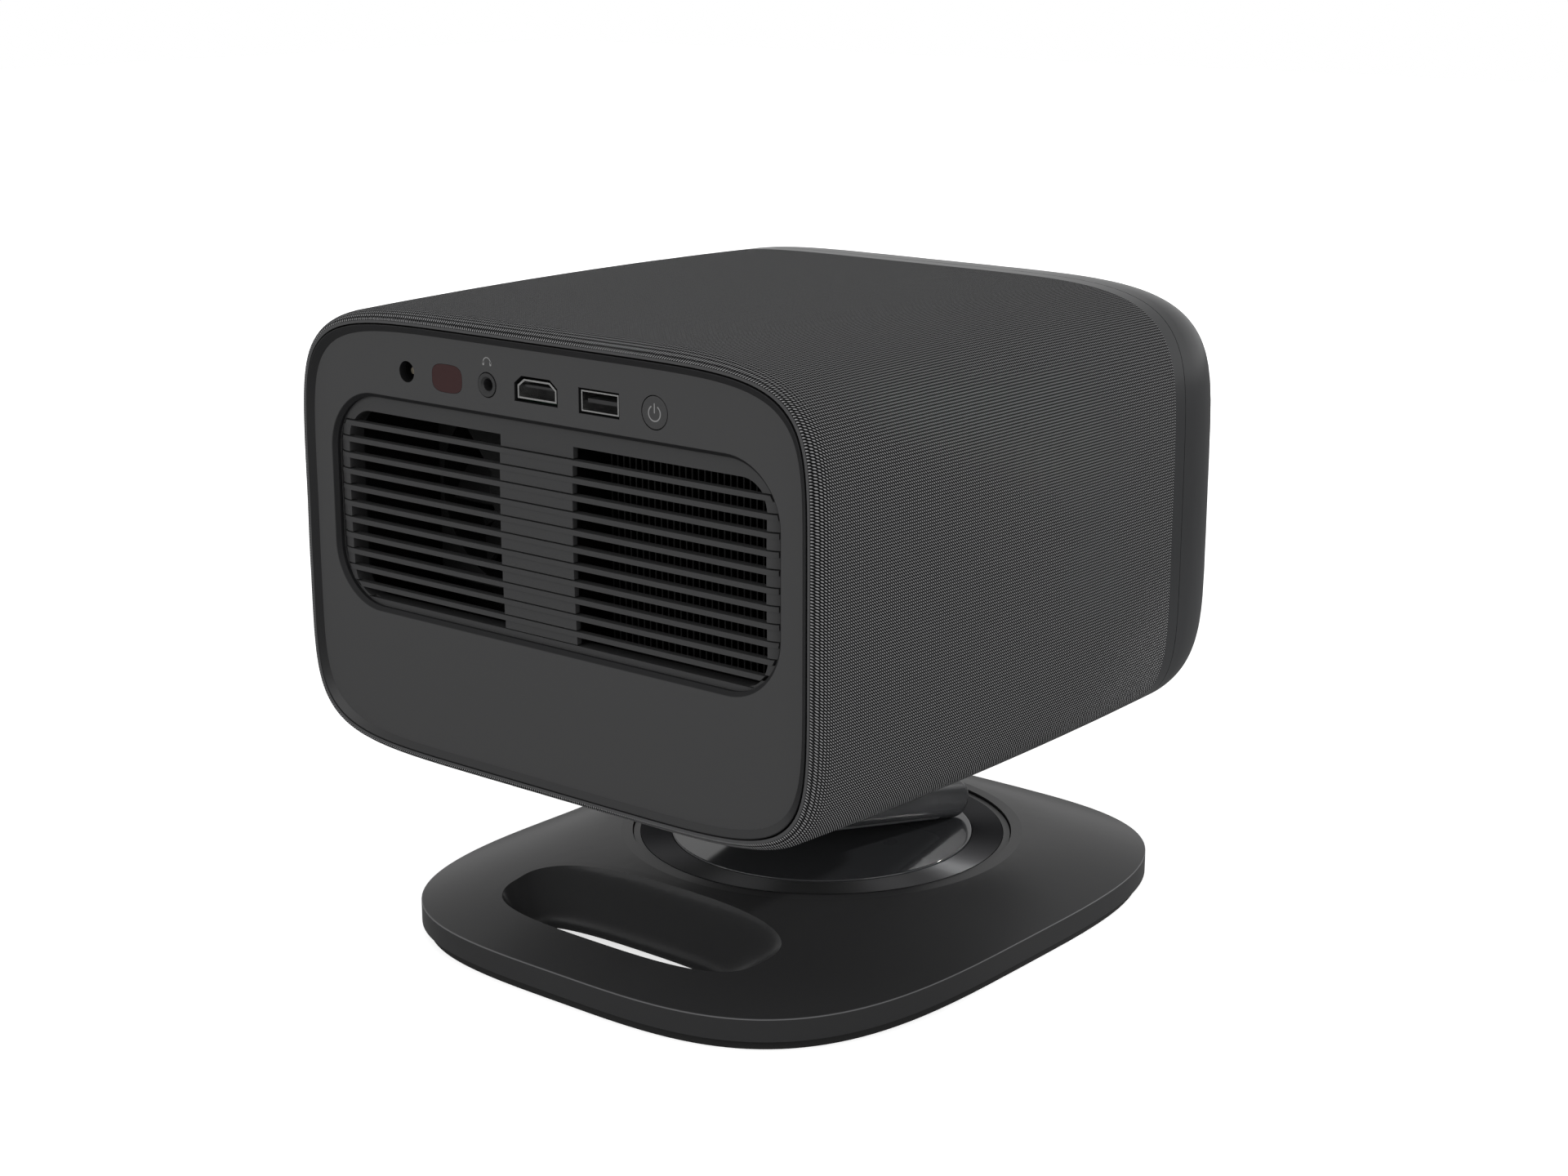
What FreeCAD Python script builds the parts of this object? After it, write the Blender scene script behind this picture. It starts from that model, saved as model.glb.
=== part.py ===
import FreeCAD, Part
import math
import os

# Smart projector: a fabric-wrapped head that tilts on a forked arm, which stands on a turntable in a
# weighted base. Millimetres. +Z is up, the lens looks along -Y, the socket panel faces +Y. The origin is on
# the floor, below the middle of the whole object. "Depth" is measured forwards from the rear panel's flat.

Vec = FreeCAD.Vector
os.makedirs("parts", exist_ok=True)

# ---- driving dimensions: placing -------------------------------------------------------------------------
REAR_Y = 111.65             # flat face of the rear panel
AXIS_Z = 182.6              # height of the socket row
BODY_Z = 132.35             # height of the head's long axis
FIT = 0.3                   # gap between pieces of different bodies
RUN = 0.06                  # radial running clearance of a shaft in its hole
SEAM = 0.25                 # visible joint between two covers
SINK = 0.02                 # two pieces of one body stand this far apart

# ---- driving dimensions: head ----------------------------------------------------------------------------
HEAD_HALF_W = 103.0
HEAD_HALF_H = 70.1
HEAD_POWER_TOP = 5.6        # exponents of the head's rounded-square section
HEAD_POWER_LOW = 6.3
HEAD_DEPTH = 209.0
BARREL_MID = 96.0           # depth at which the head is thickest
BARREL_SAG = 1.5            # how much thinner it is 100 mm from there
REAR_ROUND = 5.4
REAR_ROUND_END = 4.2        # depth at which the rear rounding ends
REAR_LIP = 0.9              # the cloth's rear edge stands this far behind the panel's flat
FRONT_ROUND_D = 27.5        # front rounding along the depth
FRONT_ROUND_I = 13.5        # front rounding inwards
COVER_DEPTH = 178.0         # seam between cloth and front cover
FABRIC_T = 0.8
SLEEVE_T = 2.0
SLEEVE_REAR = 0.6           # depth of the sleeve's rear face
SLEEVE_LIP = 2.4            # thickness of the lip round the rear opening
RIM_DEPTH = 170.0           # the sleeve is thicker from here forwards
RIM_T = 2.0
TONGUE_L = 6.0
COVER_T = 2.8
COVER_FACE_T = 3.4
GLASS_HALF_W, GLASS_HALF_H, GLASS_POWER = 66.0, 38.0, 4.0
GLASS_T, GLASS_SEAT, GLASS_LEDGE = 1.5, 1.9, 5.0
POST_X, POST_R, POST_PILOT_R = 62.0, 3.6, 1.25
POST_DEPTHS = [24.0, 92.0, 160.0]
HEAD_SCREW_R, HEAD_SCREW_H, HEAD_SCREW_LEN = 3.0, 1.8, 6.5
POST_FROM, POST_PILOT_FROM = 65.2, 66.5
SOUND_X, SOUND_FROM, SOUND_TO = (92.0, 106.0), 104.0, 146.0   # slots before the speakers
SOUND_ZS, SOUND_H = [104, 112, 120, 128, 136], 3.0
COVER_BEND = [COVER_DEPTH, 181.5, 186.0, 192.0, 198.0, 203.0]
COVER_NOSE = [206.5, 208.2, 208.8]

# ---- driving dimensions: rear panel ----------------------------------------------------------------------
PANEL_Z = 131.95
PANEL_HALF_W = 94.6
PANEL_HALF_H = 62.45
PANEL_POWER = 6.6
PANEL_T = 2.4
BEZEL_W = 2.05
BEZEL_RISE = 1.3
BEZEL_EDGE = 0.2
BEZEL_T = 5.0
BEZEL_FIT = 0.12
FLANGE_INSET, FLANGE_WALL, FLANGE_LEN = 1.0, 2.2, 3.0   # stiffening flange behind the panel
SEAT_FIT = 0.05
LAP = 0.5                   # fused pieces reach this far into each other
RING_GAP = 0.45
RING_W = 0.75
RING_T = 4.0
GRILLE_HALF_W = 87.4
GRILLE_TOP = 174.9
GRILLE_BOTTOM = 108.2
GRILLE_CORNER = 19.0
MOUTH_W, MOUTH_D = 1.3, 1.3 # sloping edge of the grille's opening
BAND_SIDE = 6.2             # band between the opening and the slots
BAND_TOP = 6.2
BAND_BOTTOM = 3.1
BAND_CORNER = 9.0
BAND_T = 4.0
SLAT_DEPTH = 2.4            # depth of the slats at the top and bottom
SLAT_CROWN = 1.2            # the slats at mid height stand this much further out
SLAT_FIRST = 165.0          # top of the uppermost slat
SLAT_PITCH = 4.94
SLAT_COUNT = 11
SLAT_H = 1.5
SLAT_T = 1.8
SLAT_STEP = 0.3             # the bands and the centre strip lie this much behind the slats
SLAT_LINE = 0.35            # gap between a slat and the band above it
SLAT_END_GAP = 0.9
SLAT_BEND, SLAT_DROP = 4.5, 1.6   # length of the bent slat ends and how far they bend in
STRIP_FROM = -11.0          # centre strip, along X
STRIP_TO = 17.5
COLLAR_FROM, COLLAR_TO = 4.2, 7.6
COLLAR_W, COLLAR_TOP_W = 3.0, 1.8   # width of the flange behind the panel
LEDGE_X, LEDGE_HALF_W, LEDGE_TO, LEDGE_T = 70.0, 5.0, 9.0, 1.2

# ---- driving dimensions: sockets (place along X, height above the socket row) ----------------------------
HDMI_X, HDMI_UP, HDMI_W, HDMI_H, HDMI_SEAM, HDMI_WALL = 0.7, 0.7, 15.0, 5.6, 0.9, 0.5
HDMI_BEVEL_W, HDMI_BEVEL_H = 2.5, 1.9
HDMI_BLADE_HALF_W, HDMI_BLADE_T, HDMI_BLADE_UP = 5.6, 0.7, 0.4
USB_X, USB_UP, USB_W, USB_H, USB_SEAM, USB_WALL = -23.25, 0.1, 13.9, 5.9, 0.65, 0.4
USB_BLADE_HALF_W, USB_BLADE_T, USB_BLADE_UP = 5.5, 1.1, -0.5
SHELL_LEN = 12.0
SHELL_INSET = 0.5
SHELL_BACK_T = 1.0
SHELL_FOOT_X, SHELL_FOOT_HALF_W, SHELL_FOOT_FROM, SHELL_FOOT_LEN = 5.5, 1.0, 5.0, 3.0
BLADE_INSET, BLADE_ROOT_T = 1.1, 2.0
JACK_X, JACK_UP, JACK_BORE_R, JACK_LEN = 19.85, 0.25, 1.8, 14.0
JACK_COLLAR_R, JACK_COLLAR_RISE, JACK_MOUTH_W = 3.4, 0.2, 0.6
JACK_BODY_HALF_W, JACK_BODY_UP, JACK_BODY_FROM = 3.6, 3.4, 3.0
JACK_SEAM = 0.3
DC_X, DC_UP, DC_R, DC_PIN_R, DC_LEN = 53.0, 0.35, 3.15, 1.0, 11.0
DC_BODY_HALF_W, DC_BODY_LEN, DC_PIN_INSET, DC_FIT = 4.6, 14.0, 2.6, 0.05
IR_X, IR_UP, IR_HALF_W, IR_HALF_H, IR_POWER = 36.2, 0.2, 6.1, 4.05, 3.2
IR_LIP_HALF_W, IR_LIP_LOW, IR_LIP_HIGH, IR_LIP_T = 7.4, 2.9, 4.9, 1.0
IR_EYE_R, IR_EYE_DEPTH, IR_CASE_HALF_W, IR_CASE_T, IR_CASE_UP = 2.0, 5.9, 2.8, 2.9, 4.2
PANE_FIT = 0.1
BUTTON_X, BUTTON_R, BUTTON_TRAVEL, BUTTON_T = -43.7, 4.55, 0.5, 1.6
BUTTON_RISE, BUTTON_EDGE = 0.05, 0.2
BUTTON_FLANGE_W, BUTTON_FLANGE_T = 1.0, 0.9
STEM_R, STEM_END = 1.3, 2.6
SWITCH_HALF_W, SWITCH_LEN, SWITCH_UP, SWITCH_KEY_R, SWITCH_KEY_T = 3.0, 3.4, 3.0, 1.6, 0.6
BOARD_TOP = AXIS_Z + USB_UP - USB_H / 2
BOARD_FROM, BOARD_TO, BOARD_HALF_W, BOARD_T = 5.0, 95.0, 80.0, 1.6
BOARD_HOLE_X, BOARD_HOLE_R, BOARD_HOLE_DEPTHS = 75.0, 1.6, [20.0, 90.0]
CHIPS = [(-22.0, 2.0, 40.0, 64.0, 2.2), (14.0, 30.0, 44.0, 60.0, 1.4), (-52.0, -36.0, 46.0, 62.0, 1.4)]
COIL_XS, COIL_DEPTH, COIL_R, COIL_H = [44.0, 56.0, 68.0], 75.0, 4.0, 7.0

# ---- driving dimensions: base ----------------------------------------------------------------------------
BASE_HALF_W = 93.6
BASE_HALF_D = 112.3
BASE_POWER = 3.5
BASE_Y = REAR_Y - BASE_HALF_D
EDGE_Z = 10.1               # sharp upper edge of the side band
LAND_Z = 20.0               # flat land round the turntable
LAND_R = 66.0
CROWN = 1.4
SKIRT_Z = 3.2               # lower edge of the side band
FOOT_INSET = 2.0
FOOT_W = 12.0
RIM_W = 21.5                # width of the shell's inner rim
RIM_TOP = 5.0
BOTTOM_FROM = 1.0
BASE_WALL = 2.6
BALLAST_TOP = 7.0
BALLAST_INSET = 22.5
SLOT_Y = REAR_Y - 37.0
SLOT_HALF_L, SLOT_HALF_W = 53.9, 19.4
HOLE_Y = REAR_Y - 30.3
HOLE_HALF_L, HOLE_HALF_W = 40.0, 10.3
SLOT_POWER = 2.9
BOWL_Z = 4.0                # where the scoop meets the straight hole
BASE_SCREW_INSET = 17.0
SLOT_LEVELS = (0, 0.2, 0.4, 0.6, 0.8, 1)   # sections of the scoop's wall
RELIEF_LIP, RELIEF_EDGE, RELIEF_W = 0.4, 1.6, 8.0   # the bottom is thinned round the hand slot
BASE_BOSS_R, BASE_BOSS_TOP = 4.0, 12.0
DOME_SHARES = (0, 0.25, 0.5, 0.75, 1)
HOLE_LEN = 9.0
BALLAST_GAP = 3.0
BASE_SCREW_R, BASE_SCREW_HEAD_R, BASE_SCREW_HEAD_H, BASE_SCREW_LEN = 1.5, 2.8, 1.4, 6.5

# ---- driving dimensions: turntable -----------------------------------------------------------------------
SWIVEL_Y = REAR_Y - 127.5
DISC_R = 61.9
WELL_GAP = 0.4
DISC_BOTTOM = 12.0
DISC_TOP = 18.1
LIP_TOP = 19.2
LIP_R = 59.8
SPUN_R = 59.6
CAP_R = 49.4
SPUN_TOP = 19.3
CAP_TOP = 19.9
FLOOR_TOP = 9.9
FLOOR_T = 2.5
WASHER_R_IN, WASHER_R_OUT = 30.0, 55.0
HUB_R = 19.9
CABLE_R = 6.0
RETAINER_R = 28.0
RETAINER_T = 2.5
RETAINER_SCREW_RING = 12.0
RETAINER_SCREW_LEN = 7.0
SCREW_ANGLES = (90, 210, 330)
CAP_EDGE, CAP_FIT = 0.4, 0.1
RING_FIT = 0.2              # spun ring round the cap
BLOCK_FOOT_X, BLOCK_FOOT_Y, BLOCK_FOOT_T = 24.0, 11.0, 2.5   # foot of the lower hinge block

# ---- driving dimensions: arm and hinges ------------------------------------------------------------------
LOW_Y, LOW_Z = REAR_Y - 161.8, 26.7      # lower hinge axis
ARM_LEN, ARM_SLOPE = 100.0, 11.7         # to the upper hinge axis, and its rise in degrees
ARM_R = 6.5
ARM_HALF_W = 31.9
ARM_EDGE = 3.5
ARM_PLATE_T = 1.3
ARM_WALL = 2.5
CAVITY_HALF_W, CAVITY_END = 24.0, 14.0
BOSS_X, BOSS_END, BOSS_R = 19.0, 21.0, 3.5
ARM_SCREW_R, ARM_SCREW_HEAD_R, ARM_SCREW_HEAD_H, ARM_SCREW_LEN = 1.25, 2.4, 0.9, 5.0
KNUCKLE_R = 6.2
KNUCKLE_HALF_W = 14.4
FORK_GAP = 0.4
FORK_DEPTH = 8.0
PIN_R = 2.5
PIN_HALF_L = 24.0
FLANGE_X, FLANGE_Y, FLANGE_FROM, FLANGE_T = 28.0, 14.0, 65.4, 3.0   # inside the head
BRACKET_X, BRACKET_Y = 34.0, 20.0
BRACKET_BOLT_X, BRACKET_BOLT_Y, BRACKET_BOLT_R = 21.0, 9.0, 1.5
TOP_Y = LOW_Y + ARM_LEN * math.cos(math.radians(ARM_SLOPE))
TOP_Z = LOW_Z + ARM_LEN * math.sin(math.radians(ARM_SLOPE))

# ---- driving dimensions: inside the head -----------------------------------------------------------------
CHASSIS_Z, CHASSIS_T, CHASSIS_HALF_W = 72.0, 1.6, 84.0
CHASSIS_FROM, CHASSIS_TO = 10.0, 168.0
DECK = CHASSIS_Z + CHASSIS_T
WALL_DEPTH, WALL_T = 50.0, 2.0           # fan wall
DIVIDER_X, DIVIDER_FROM = 2.0, 9.0
FAN_SIZE, FAN_T, FAN_BORE_R = 60.0, 15.0, 28.5
FAN_X, FAN_Z = 48.0, 141.0
SPIDER_T, SPIDER_R, SPOKE_W = 3.0, 10.0, 3.0
ROTOR_R, ROTOR_HUB_R, ROTOR_HUB_T = 27.6, 11.0, 9.0
BLADE_COUNT, BLADE_T, BLADE_CHORD, BLADE_PITCH = 7, 1.2, 13.0, 34.0
BLADE_ROOT = 1.5            # a blade reaches this far into the hub
SPOKE_ANGLES = (30, 150, 270)
WALL_FOOT_W, WALL_FOOT_T = 8.0, 2.0
SHAFT_R = 1.5
FIN_PITCH, FIN_T, FIN_COUNT = 2.3, 0.5, 29
FIN_FROM, FIN_LEN = 13.0, 35.0
FIN_Z, FIN_H, FIN_PLATE_T = 111.0, 61.0, 4.0
PIPE_R, PIPE_RISE, PIPE_X = 3.0, 20.0, -11.0
PIPE_DEPTHS = [25.0, 38.0]
PIPE_STEP = 7.0
PIPE_REACH = 32.0           # beyond the fan's axis
LED_X0, LED_X1, LED_FROM, LED_TOP, LED_PLATE_T, LED_PLATE_H = -24.0, 2.0, 66.0, 105.0, 4.0, 20.0
ENGINE_HALF_W, ENGINE_FROM, ENGINE_TO, ENGINE_LOW, ENGINE_HIGH = 42.0, 86.0, 150.0, 92.0, 168.0
ENGINE_WALL = 3.0
ENGINE_RIB_H, ENGINE_RIB_T, ENGINE_RIBS = 1.5, 2.0, [94.0, 110.0, 126.0, 142.0]   # ribs along the depth
ENGINE_LEG_X, ENGINE_LEG_W, ENGINE_LEG_LEN, ENGINE_LEGS = 36.0, 6.0, 8.0, [96.0, 140.0]
ENGINE_BORE_LEN = 14.0
LENS_Z = 132.0
BARREL_R, BARREL_T, BARREL_LEN = 26.0, 2.4, 22.0
CARRIAGE_T, CARRIAGE_FROM, CARRIAGE_TO = 2.3, 160.0, 196.0
EAR_FROM, EAR_T, EAR_R, EAR_W, EAR_HALF_H = 178.0, 4.0, 27.0, 4.5, 4.0
TAIL_HALF_W, TAIL_BELOW, TAIL_LAP = 5.0, 5.5, 3.0   # tongue down to the focus screw
LENSES = [(164.0, 3.0), (188.0, 4.0)]               # depth and bulge of the two lenses
LENS_EDGE_T = 3.0
CAMERA_X0, CAMERA_X1, CAMERA_T, CAMERA_HALF_H = 46.0, 68.0, 9.0, 8.0
CAMERA_EYE_X, CAMERA_EYE_R, CAMERA_EYE_LEN = 53.0, 4.0, 1.2
GUIDE_X, GUIDE_R, GUIDE_SINK, GUIDE_TO = 31.0, 1.5, 6.0, 190.0
SCREW_Z, SCREW_R, SCREW_SHAFT_R, SCREW_TO = 98.0, 2.5, 1.5, 190.0
MOTOR_R, MOTOR_LEN = 7.5, 16.0
SPEAKER_X0, SPEAKER_X1, SPEAKER_FROM, SPEAKER_LEN, SPEAKER_TOP = 68.0, 88.0, 100.0, 50.0, 150.0
SPEAKER_WALL = 2.0
DRIVER_R, DRIVER_T, DRIVER_DOWN = 22.0, 5.0, 30.0
CONE_R0, CONE_R1, CONE_H = 8.0, 19.0, 3.0
VENT_XS, VENT_W, VENT_FROM, VENT_TO = [-60, -54, -48, -42], 3.0, 118.0, 146.0
POWER_HALF_W, POWER_FROM, POWER_TO, POWER_UP, POWER_T = 28.0, 92.0, 146.0, 3.0, 1.6
POWER_POST_X, POWER_POST_R, POWER_POSTS = 24.0, 2.5, [96.0, 142.0]
CAN_XS, CAN_DEPTH, CAN_R, CAN_H = [-18.0, -6.0], 104.0, 5.0, 12.0
COILS = [(6.0, 24.0, 100.0, 124.0, 11.0), (-24.0, -8.0, 116.0, 138.0, 8.0)]
ANTENNA_X0, ANTENNA_X1, ANTENNA_DEPTH, ANTENNA_T, ANTENNA_H = 50.0, 78.0, 87.0, 1.0, 11.0


# ---- helpers ---------------------------------------------------------------------------------------------
def depth(d):
    """Y of a plane that lies d forwards of the rear panel's flat face."""
    return REAR_Y - d


def save(name, shape):
    """Write one node."""
    if shape.ShapeType == "Compound" and len(shape.Solids) == 1:
        shape = shape.Solids[0]
    shape.exportStep("parts/" + name + ".step")


def box(x0, x1, y0, y1, z0, z1):
    return Part.makeBox(x1 - x0, y1 - y0, z1 - z0, Vec(x0, y0, z0))


def rod_x(radius, x0, x1, y, z):
    return Part.makeCylinder(radius, x1 - x0, Vec(x0, y, z), Vec(1, 0, 0))


def rod_y(radius, x, y0, y1, z):
    return Part.makeCylinder(radius, y1 - y0, Vec(x, y0, z), Vec(0, 1, 0))


def rod_z(radius, x, y, z0, z1):
    return Part.makeCylinder(radius, z1 - z0, Vec(x, y, z0), Vec(0, 0, 1))


def closed_curve(points):
    curve = Part.BSplineCurve()
    curve.interpolate(Points=points, PeriodicFlag=True)
    return Part.Wire([curve.toShape()])


def signed_power(value, power):
    return math.copysign(abs(value) ** power, value)


def rounded_square(half_w, half_h, power, low_power=None, count=48):
    """Points of |x/w|^power + |y/h|^power = 1, closer together at the corners."""
    points = []
    for i in range(count):
        angle = 2 * math.pi * i / count
        c, s = signed_power(math.cos(angle), 0.6), signed_power(math.sin(angle), 0.6)
        n = low_power if low_power and s < 0 else power
        scale = (abs(c) ** n + abs(s) ** n) ** (-1 / n)
        points.append((half_w * c * scale, half_h * s * scale))
    return points


def upright_wire(half_w, half_h, power, y, x=0.0, z=0.0):
    """Rounded square in a plane across Y."""
    return closed_curve([Vec(x + px, y, z + pz) for px, pz in rounded_square(half_w, half_h, power)])


def flat_wire(half_w, half_d, power, z, y=0.0):
    """Rounded square in a plane across Z."""
    return closed_curve([Vec(px, y + py, z) for px, py in rounded_square(half_w, half_d, power, count=32)])


def prism_y(wire, length):
    """Solid from a wire across Y, going forwards (towards -Y)."""
    return Part.Face(wire).extrude(Vec(0, -length, 0))


def prism_z(wire, length):
    return Part.Face(wire).extrude(Vec(0, 0, length))


def loft(wires, ruled=False):
    return Part.makeLoft(wires, True, ruled)


def fused(shapes):
    return shapes[0].multiFuse(shapes[1:]).removeSplitter() if len(shapes) > 1 else shapes[0]


def rounded_box_wire(x0, x1, z0, z1, radius, y):
    """Rectangle with round corners in a plane across Y."""
    corners = [(x1 - radius, z1 - radius, 0), (x0 + radius, z1 - radius, 90),
               (x0 + radius, z0 + radius, 180), (x1 - radius, z0 + radius, 270)]
    ends = []
    for cx, cz, start in corners:
        ends.append([Vec(cx + radius * math.cos(math.radians(start + turn)), y,
                         cz + radius * math.sin(math.radians(start + turn))) for turn in (0, 45, 90)])
    edges = []
    for i, (first, middle, last) in enumerate(ends):
        edges.append(Part.Arc(first, middle, last).toShape())
        edges.append(Part.LineSegment(last, ends[(i + 1) % 4][0]).toShape())
    return Part.Wire(edges)


def screw(head_r, head_h, shank_r, length, place, direction):
    """Pan-head screw: place is under the head, direction is where the shank goes."""
    head = Part.makeCylinder(head_r, head_h, place - direction * head_h, direction)
    socket = Part.makeCylinder(head_r * 0.45, head_h * 0.6, place - direction * head_h, direction)
    return head.fuse(Part.makeCylinder(shank_r, length, place, direction)).cut(socket)


# ---- head housing ----------------------------------------------------------------------------------------
def head_points(d, inward):
    """Outline of the housing at depth d, a given distance inside its outer face."""
    inset = inward + BARREL_SAG * ((d - BARREL_MID) / 100) ** 2
    front = (d - HEAD_DEPTH + FRONT_ROUND_D) / FRONT_ROUND_D
    if front > 0:
        inset += FRONT_ROUND_I * (1 - math.sqrt(max(0.0, 1 - front * front)))
    half_w, half_h = HEAD_HALF_W - inset, HEAD_HALF_H - inset
    full = [(x, z + BODY_Z) for x, z in rounded_square(half_w, half_h, HEAD_POWER_TOP, HEAD_POWER_LOW)]
    if d >= REAR_ROUND_END:
        return full
    reach = BEZEL_W + RING_GAP + RING_W + SEAM - inward
    edge = rounded_square(PANEL_HALF_W + reach, PANEL_HALF_H + reach, PANEL_POWER)
    share = rear_drop(d) / rear_drop(-REAR_LIP)
    return [(fx + (ex - fx) * share, fz + (ez + PANEL_Z - fz) * share)
            for (fx, fz), (ex, ez) in zip(full, edge)]


def rear_drop(d):
    """Height lost by the rear rounding at depth d."""
    return 1 - math.sqrt(1 - ((REAR_ROUND_END - d) / REAR_ROUND) ** 2)


def head_wire(d, inward, at=None):
    y = depth(d if at is None else at)
    return closed_curve([Vec(x, y, z) for x, z in head_points(d, inward)])


def head_solid(depths, inward):
    """Housing between the first and last depth; its rear rounding is a surface of its own."""
    rounding = [head_wire(d, inward) for d in depths if d <= REAR_ROUND_END]
    body = [head_wire(d, inward) for d in depths if d >= REAR_ROUND_END]
    if len(rounding) > 1:
        return loft(rounding).fuse(loft(body))
    return loft(body)


REAR_STATIONS = [-REAR_LIP, 0.2, 1.2, 2.6]
BODY_STATIONS = [REAR_ROUND_END, 48.0, 92.0, 136.0]
SLEEVE_END = COVER_DEPTH - SEAM


def knuckle_opening():
    """Hole in the housing's floor for the upper hinge block."""
    half_x, half_y = KNUCKLE_HALF_W + 2 * FIT, KNUCKLE_R + 2 * FIT
    return box(-half_x, half_x, TOP_Y - half_y, TOP_Y + half_y, 50.0, FLANGE_FROM + 1)


def fabric_wrap():
    outer = head_solid(REAR_STATIONS + BODY_STATIONS + [SLEEVE_END], 0)
    inner = head_solid([SLEEVE_REAR, 2.0] + BODY_STATIONS + [SLEEVE_END], FABRIC_T)
    front = prism_y(head_wire(SLEEVE_END, FABRIC_T), 4.0)
    rear = prism_y(panel_wire(BEZEL_W + RING_GAP + RING_W + 0.1, -4.0), SLEEVE_REAR + 4.0)
    return outer.cut([inner, front, rear, knuckle_opening()])


def sleeve_hollow():
    wall = FABRIC_T + SLEEVE_T
    start = SLEEVE_REAR + SLEEVE_LIP
    main = head_solid([start] + BODY_STATIONS + [RIM_DEPTH], wall)
    rear = prism_y(panel_wire(BEZEL_W + RING_GAP + RING_W, -4.0), start + 4.0 + 0.01)
    front = prism_y(head_wire(SLEEVE_END, COVER_T + SEAM + RIM_T, RIM_DEPTH - 0.01), 20.0)
    return [main, rear, front]


def sleeve_shell():
    skin = FABRIC_T + SINK
    outer = head_solid([SLEEVE_REAR + SINK, 2.0] + BODY_STATIONS + [SLEEVE_END], skin)
    tongue = prism_y(head_wire(SLEEVE_END, COVER_T + SEAM), TONGUE_L)
    shell = outer.fuse(tongue).cut(sleeve_hollow())
    places = [(x, depth(d)) for x in (-POST_X, POST_X) for d in POST_DEPTHS]
    shell = shell.fuse([rod_z(POST_R, x, y, POST_FROM, CHASSIS_Z) for x, y in places])
    pilots = [rod_z(POST_PILOT_R, x, y, POST_PILOT_FROM, CHASSIS_Z + 1) for x, y in places]
    near, far = SOUND_X
    sound = [box(x0, x1, depth(SOUND_TO), depth(SOUND_FROM), z, z + SOUND_H)
             for x0, x1 in ((near, far), (-far, -near)) for z in SOUND_ZS]
    return shell.cut(pilots + sound + [knuckle_opening()])


def glass_wire(outward, d):
    return upright_wire(GLASS_HALF_W + outward, GLASS_HALF_H + outward, GLASS_POWER, depth(d), z=BODY_Z)


def front_cover():
    outer = head_solid(COVER_BEND + COVER_NOSE + [HEAD_DEPTH], 0)
    inner = head_solid(COVER_BEND, COVER_T)
    face = prism_y(head_wire(COVER_BEND[-1], COVER_T), HEAD_DEPTH - COVER_FACE_T - COVER_BEND[-1])
    mouth = prism_y(head_wire(COVER_DEPTH, COVER_T, COVER_DEPTH - 1), 1.0)
    seat = prism_y(glass_wire(SEAM, HEAD_DEPTH - GLASS_SEAT), 6.0)
    window = prism_y(glass_wire(-GLASS_LEDGE, HEAD_DEPTH - 9), 12.0)
    return outer.cut([inner, face, mouth, seat, window])


def front_glass():
    return prism_y(glass_wire(0, HEAD_DEPTH - GLASS_SEAT), GLASS_T)


# ---- rear panel ------------------------------------------------------------------------------------------
def panel_wire(outward, d):
    return upright_wire(PANEL_HALF_W + outward, PANEL_HALF_H + outward, PANEL_POWER, depth(d), z=PANEL_Z)


def trim_ring():
    inner = BEZEL_W + RING_GAP
    face = -REAR_LIP - 0.2
    ring = prism_y(panel_wire(inner + RING_W, face), RING_T)
    return ring.cut(prism_y(panel_wire(inner, face - 1), RING_T + 2))


def rear_bezel():
    """Sloping frame of the panel, held by a flange behind the sleeve's lip."""
    catch = SLEEVE_REAR + SLEEVE_LIP + BEZEL_FIT
    ring = prism_y(panel_wire(BEZEL_W, -BEZEL_RISE), BEZEL_RISE + BEZEL_T)
    flange = prism_y(head_wire(catch, FABRIC_T + SLEEVE_T + BEZEL_FIT), BEZEL_T - catch)
    slope = loft([panel_wire(BEZEL_W - BEZEL_EDGE, -BEZEL_RISE), panel_wire(0, 0)], True)
    return ring.fuse(flange).cut([slope, prism_y(panel_wire(0, 0), BEZEL_T + 1)])


def grille_wire(inset, d, top_inset=None):
    """Outline of the grille's opening, drawn in by an inset."""
    top = inset if top_inset is None else top_inset
    return rounded_box_wire(-GRILLE_HALF_W + inset, GRILLE_HALF_W - inset, GRILLE_BOTTOM + inset,
                            GRILLE_TOP - top, GRILLE_CORNER - max(inset, top), depth(d))


def slots_wire(d):
    """Outline of the field of slots."""
    return rounded_box_wire(-GRILLE_HALF_W + BAND_SIDE, GRILLE_HALF_W - BAND_SIDE,
                            GRILLE_BOTTOM + BAND_BOTTOM, GRILLE_TOP - BAND_TOP, BAND_CORNER, depth(d))


def hdmi_wire(margin, y):
    """Outline of the HDMI shell, grown by a margin; its two upper corners are cut off."""
    w, h = HDMI_W / 2 + margin, HDMI_H / 2 + margin
    bevel_w, bevel_h = HDMI_BEVEL_W + margin * 0.4, HDMI_BEVEL_H + margin * 0.4
    corners = [(-w, -h), (w, -h), (w, h - bevel_h), (w - bevel_w, h), (-w + bevel_w, h), (-w, h - bevel_h)]
    points = [Vec(HDMI_X + x, y, AXIS_Z + HDMI_UP + z) for x, z in corners]
    return Part.makePolygon(points + [points[0]])


def usb_block(margin, y0, y1):
    """Block with the outline of the USB shell, grown by a margin."""
    w, h, z = USB_W / 2 + margin, USB_H / 2 + margin, AXIS_Z + USB_UP
    return box(USB_X - w, USB_X + w, y0, y1, z - h, z + h)


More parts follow.
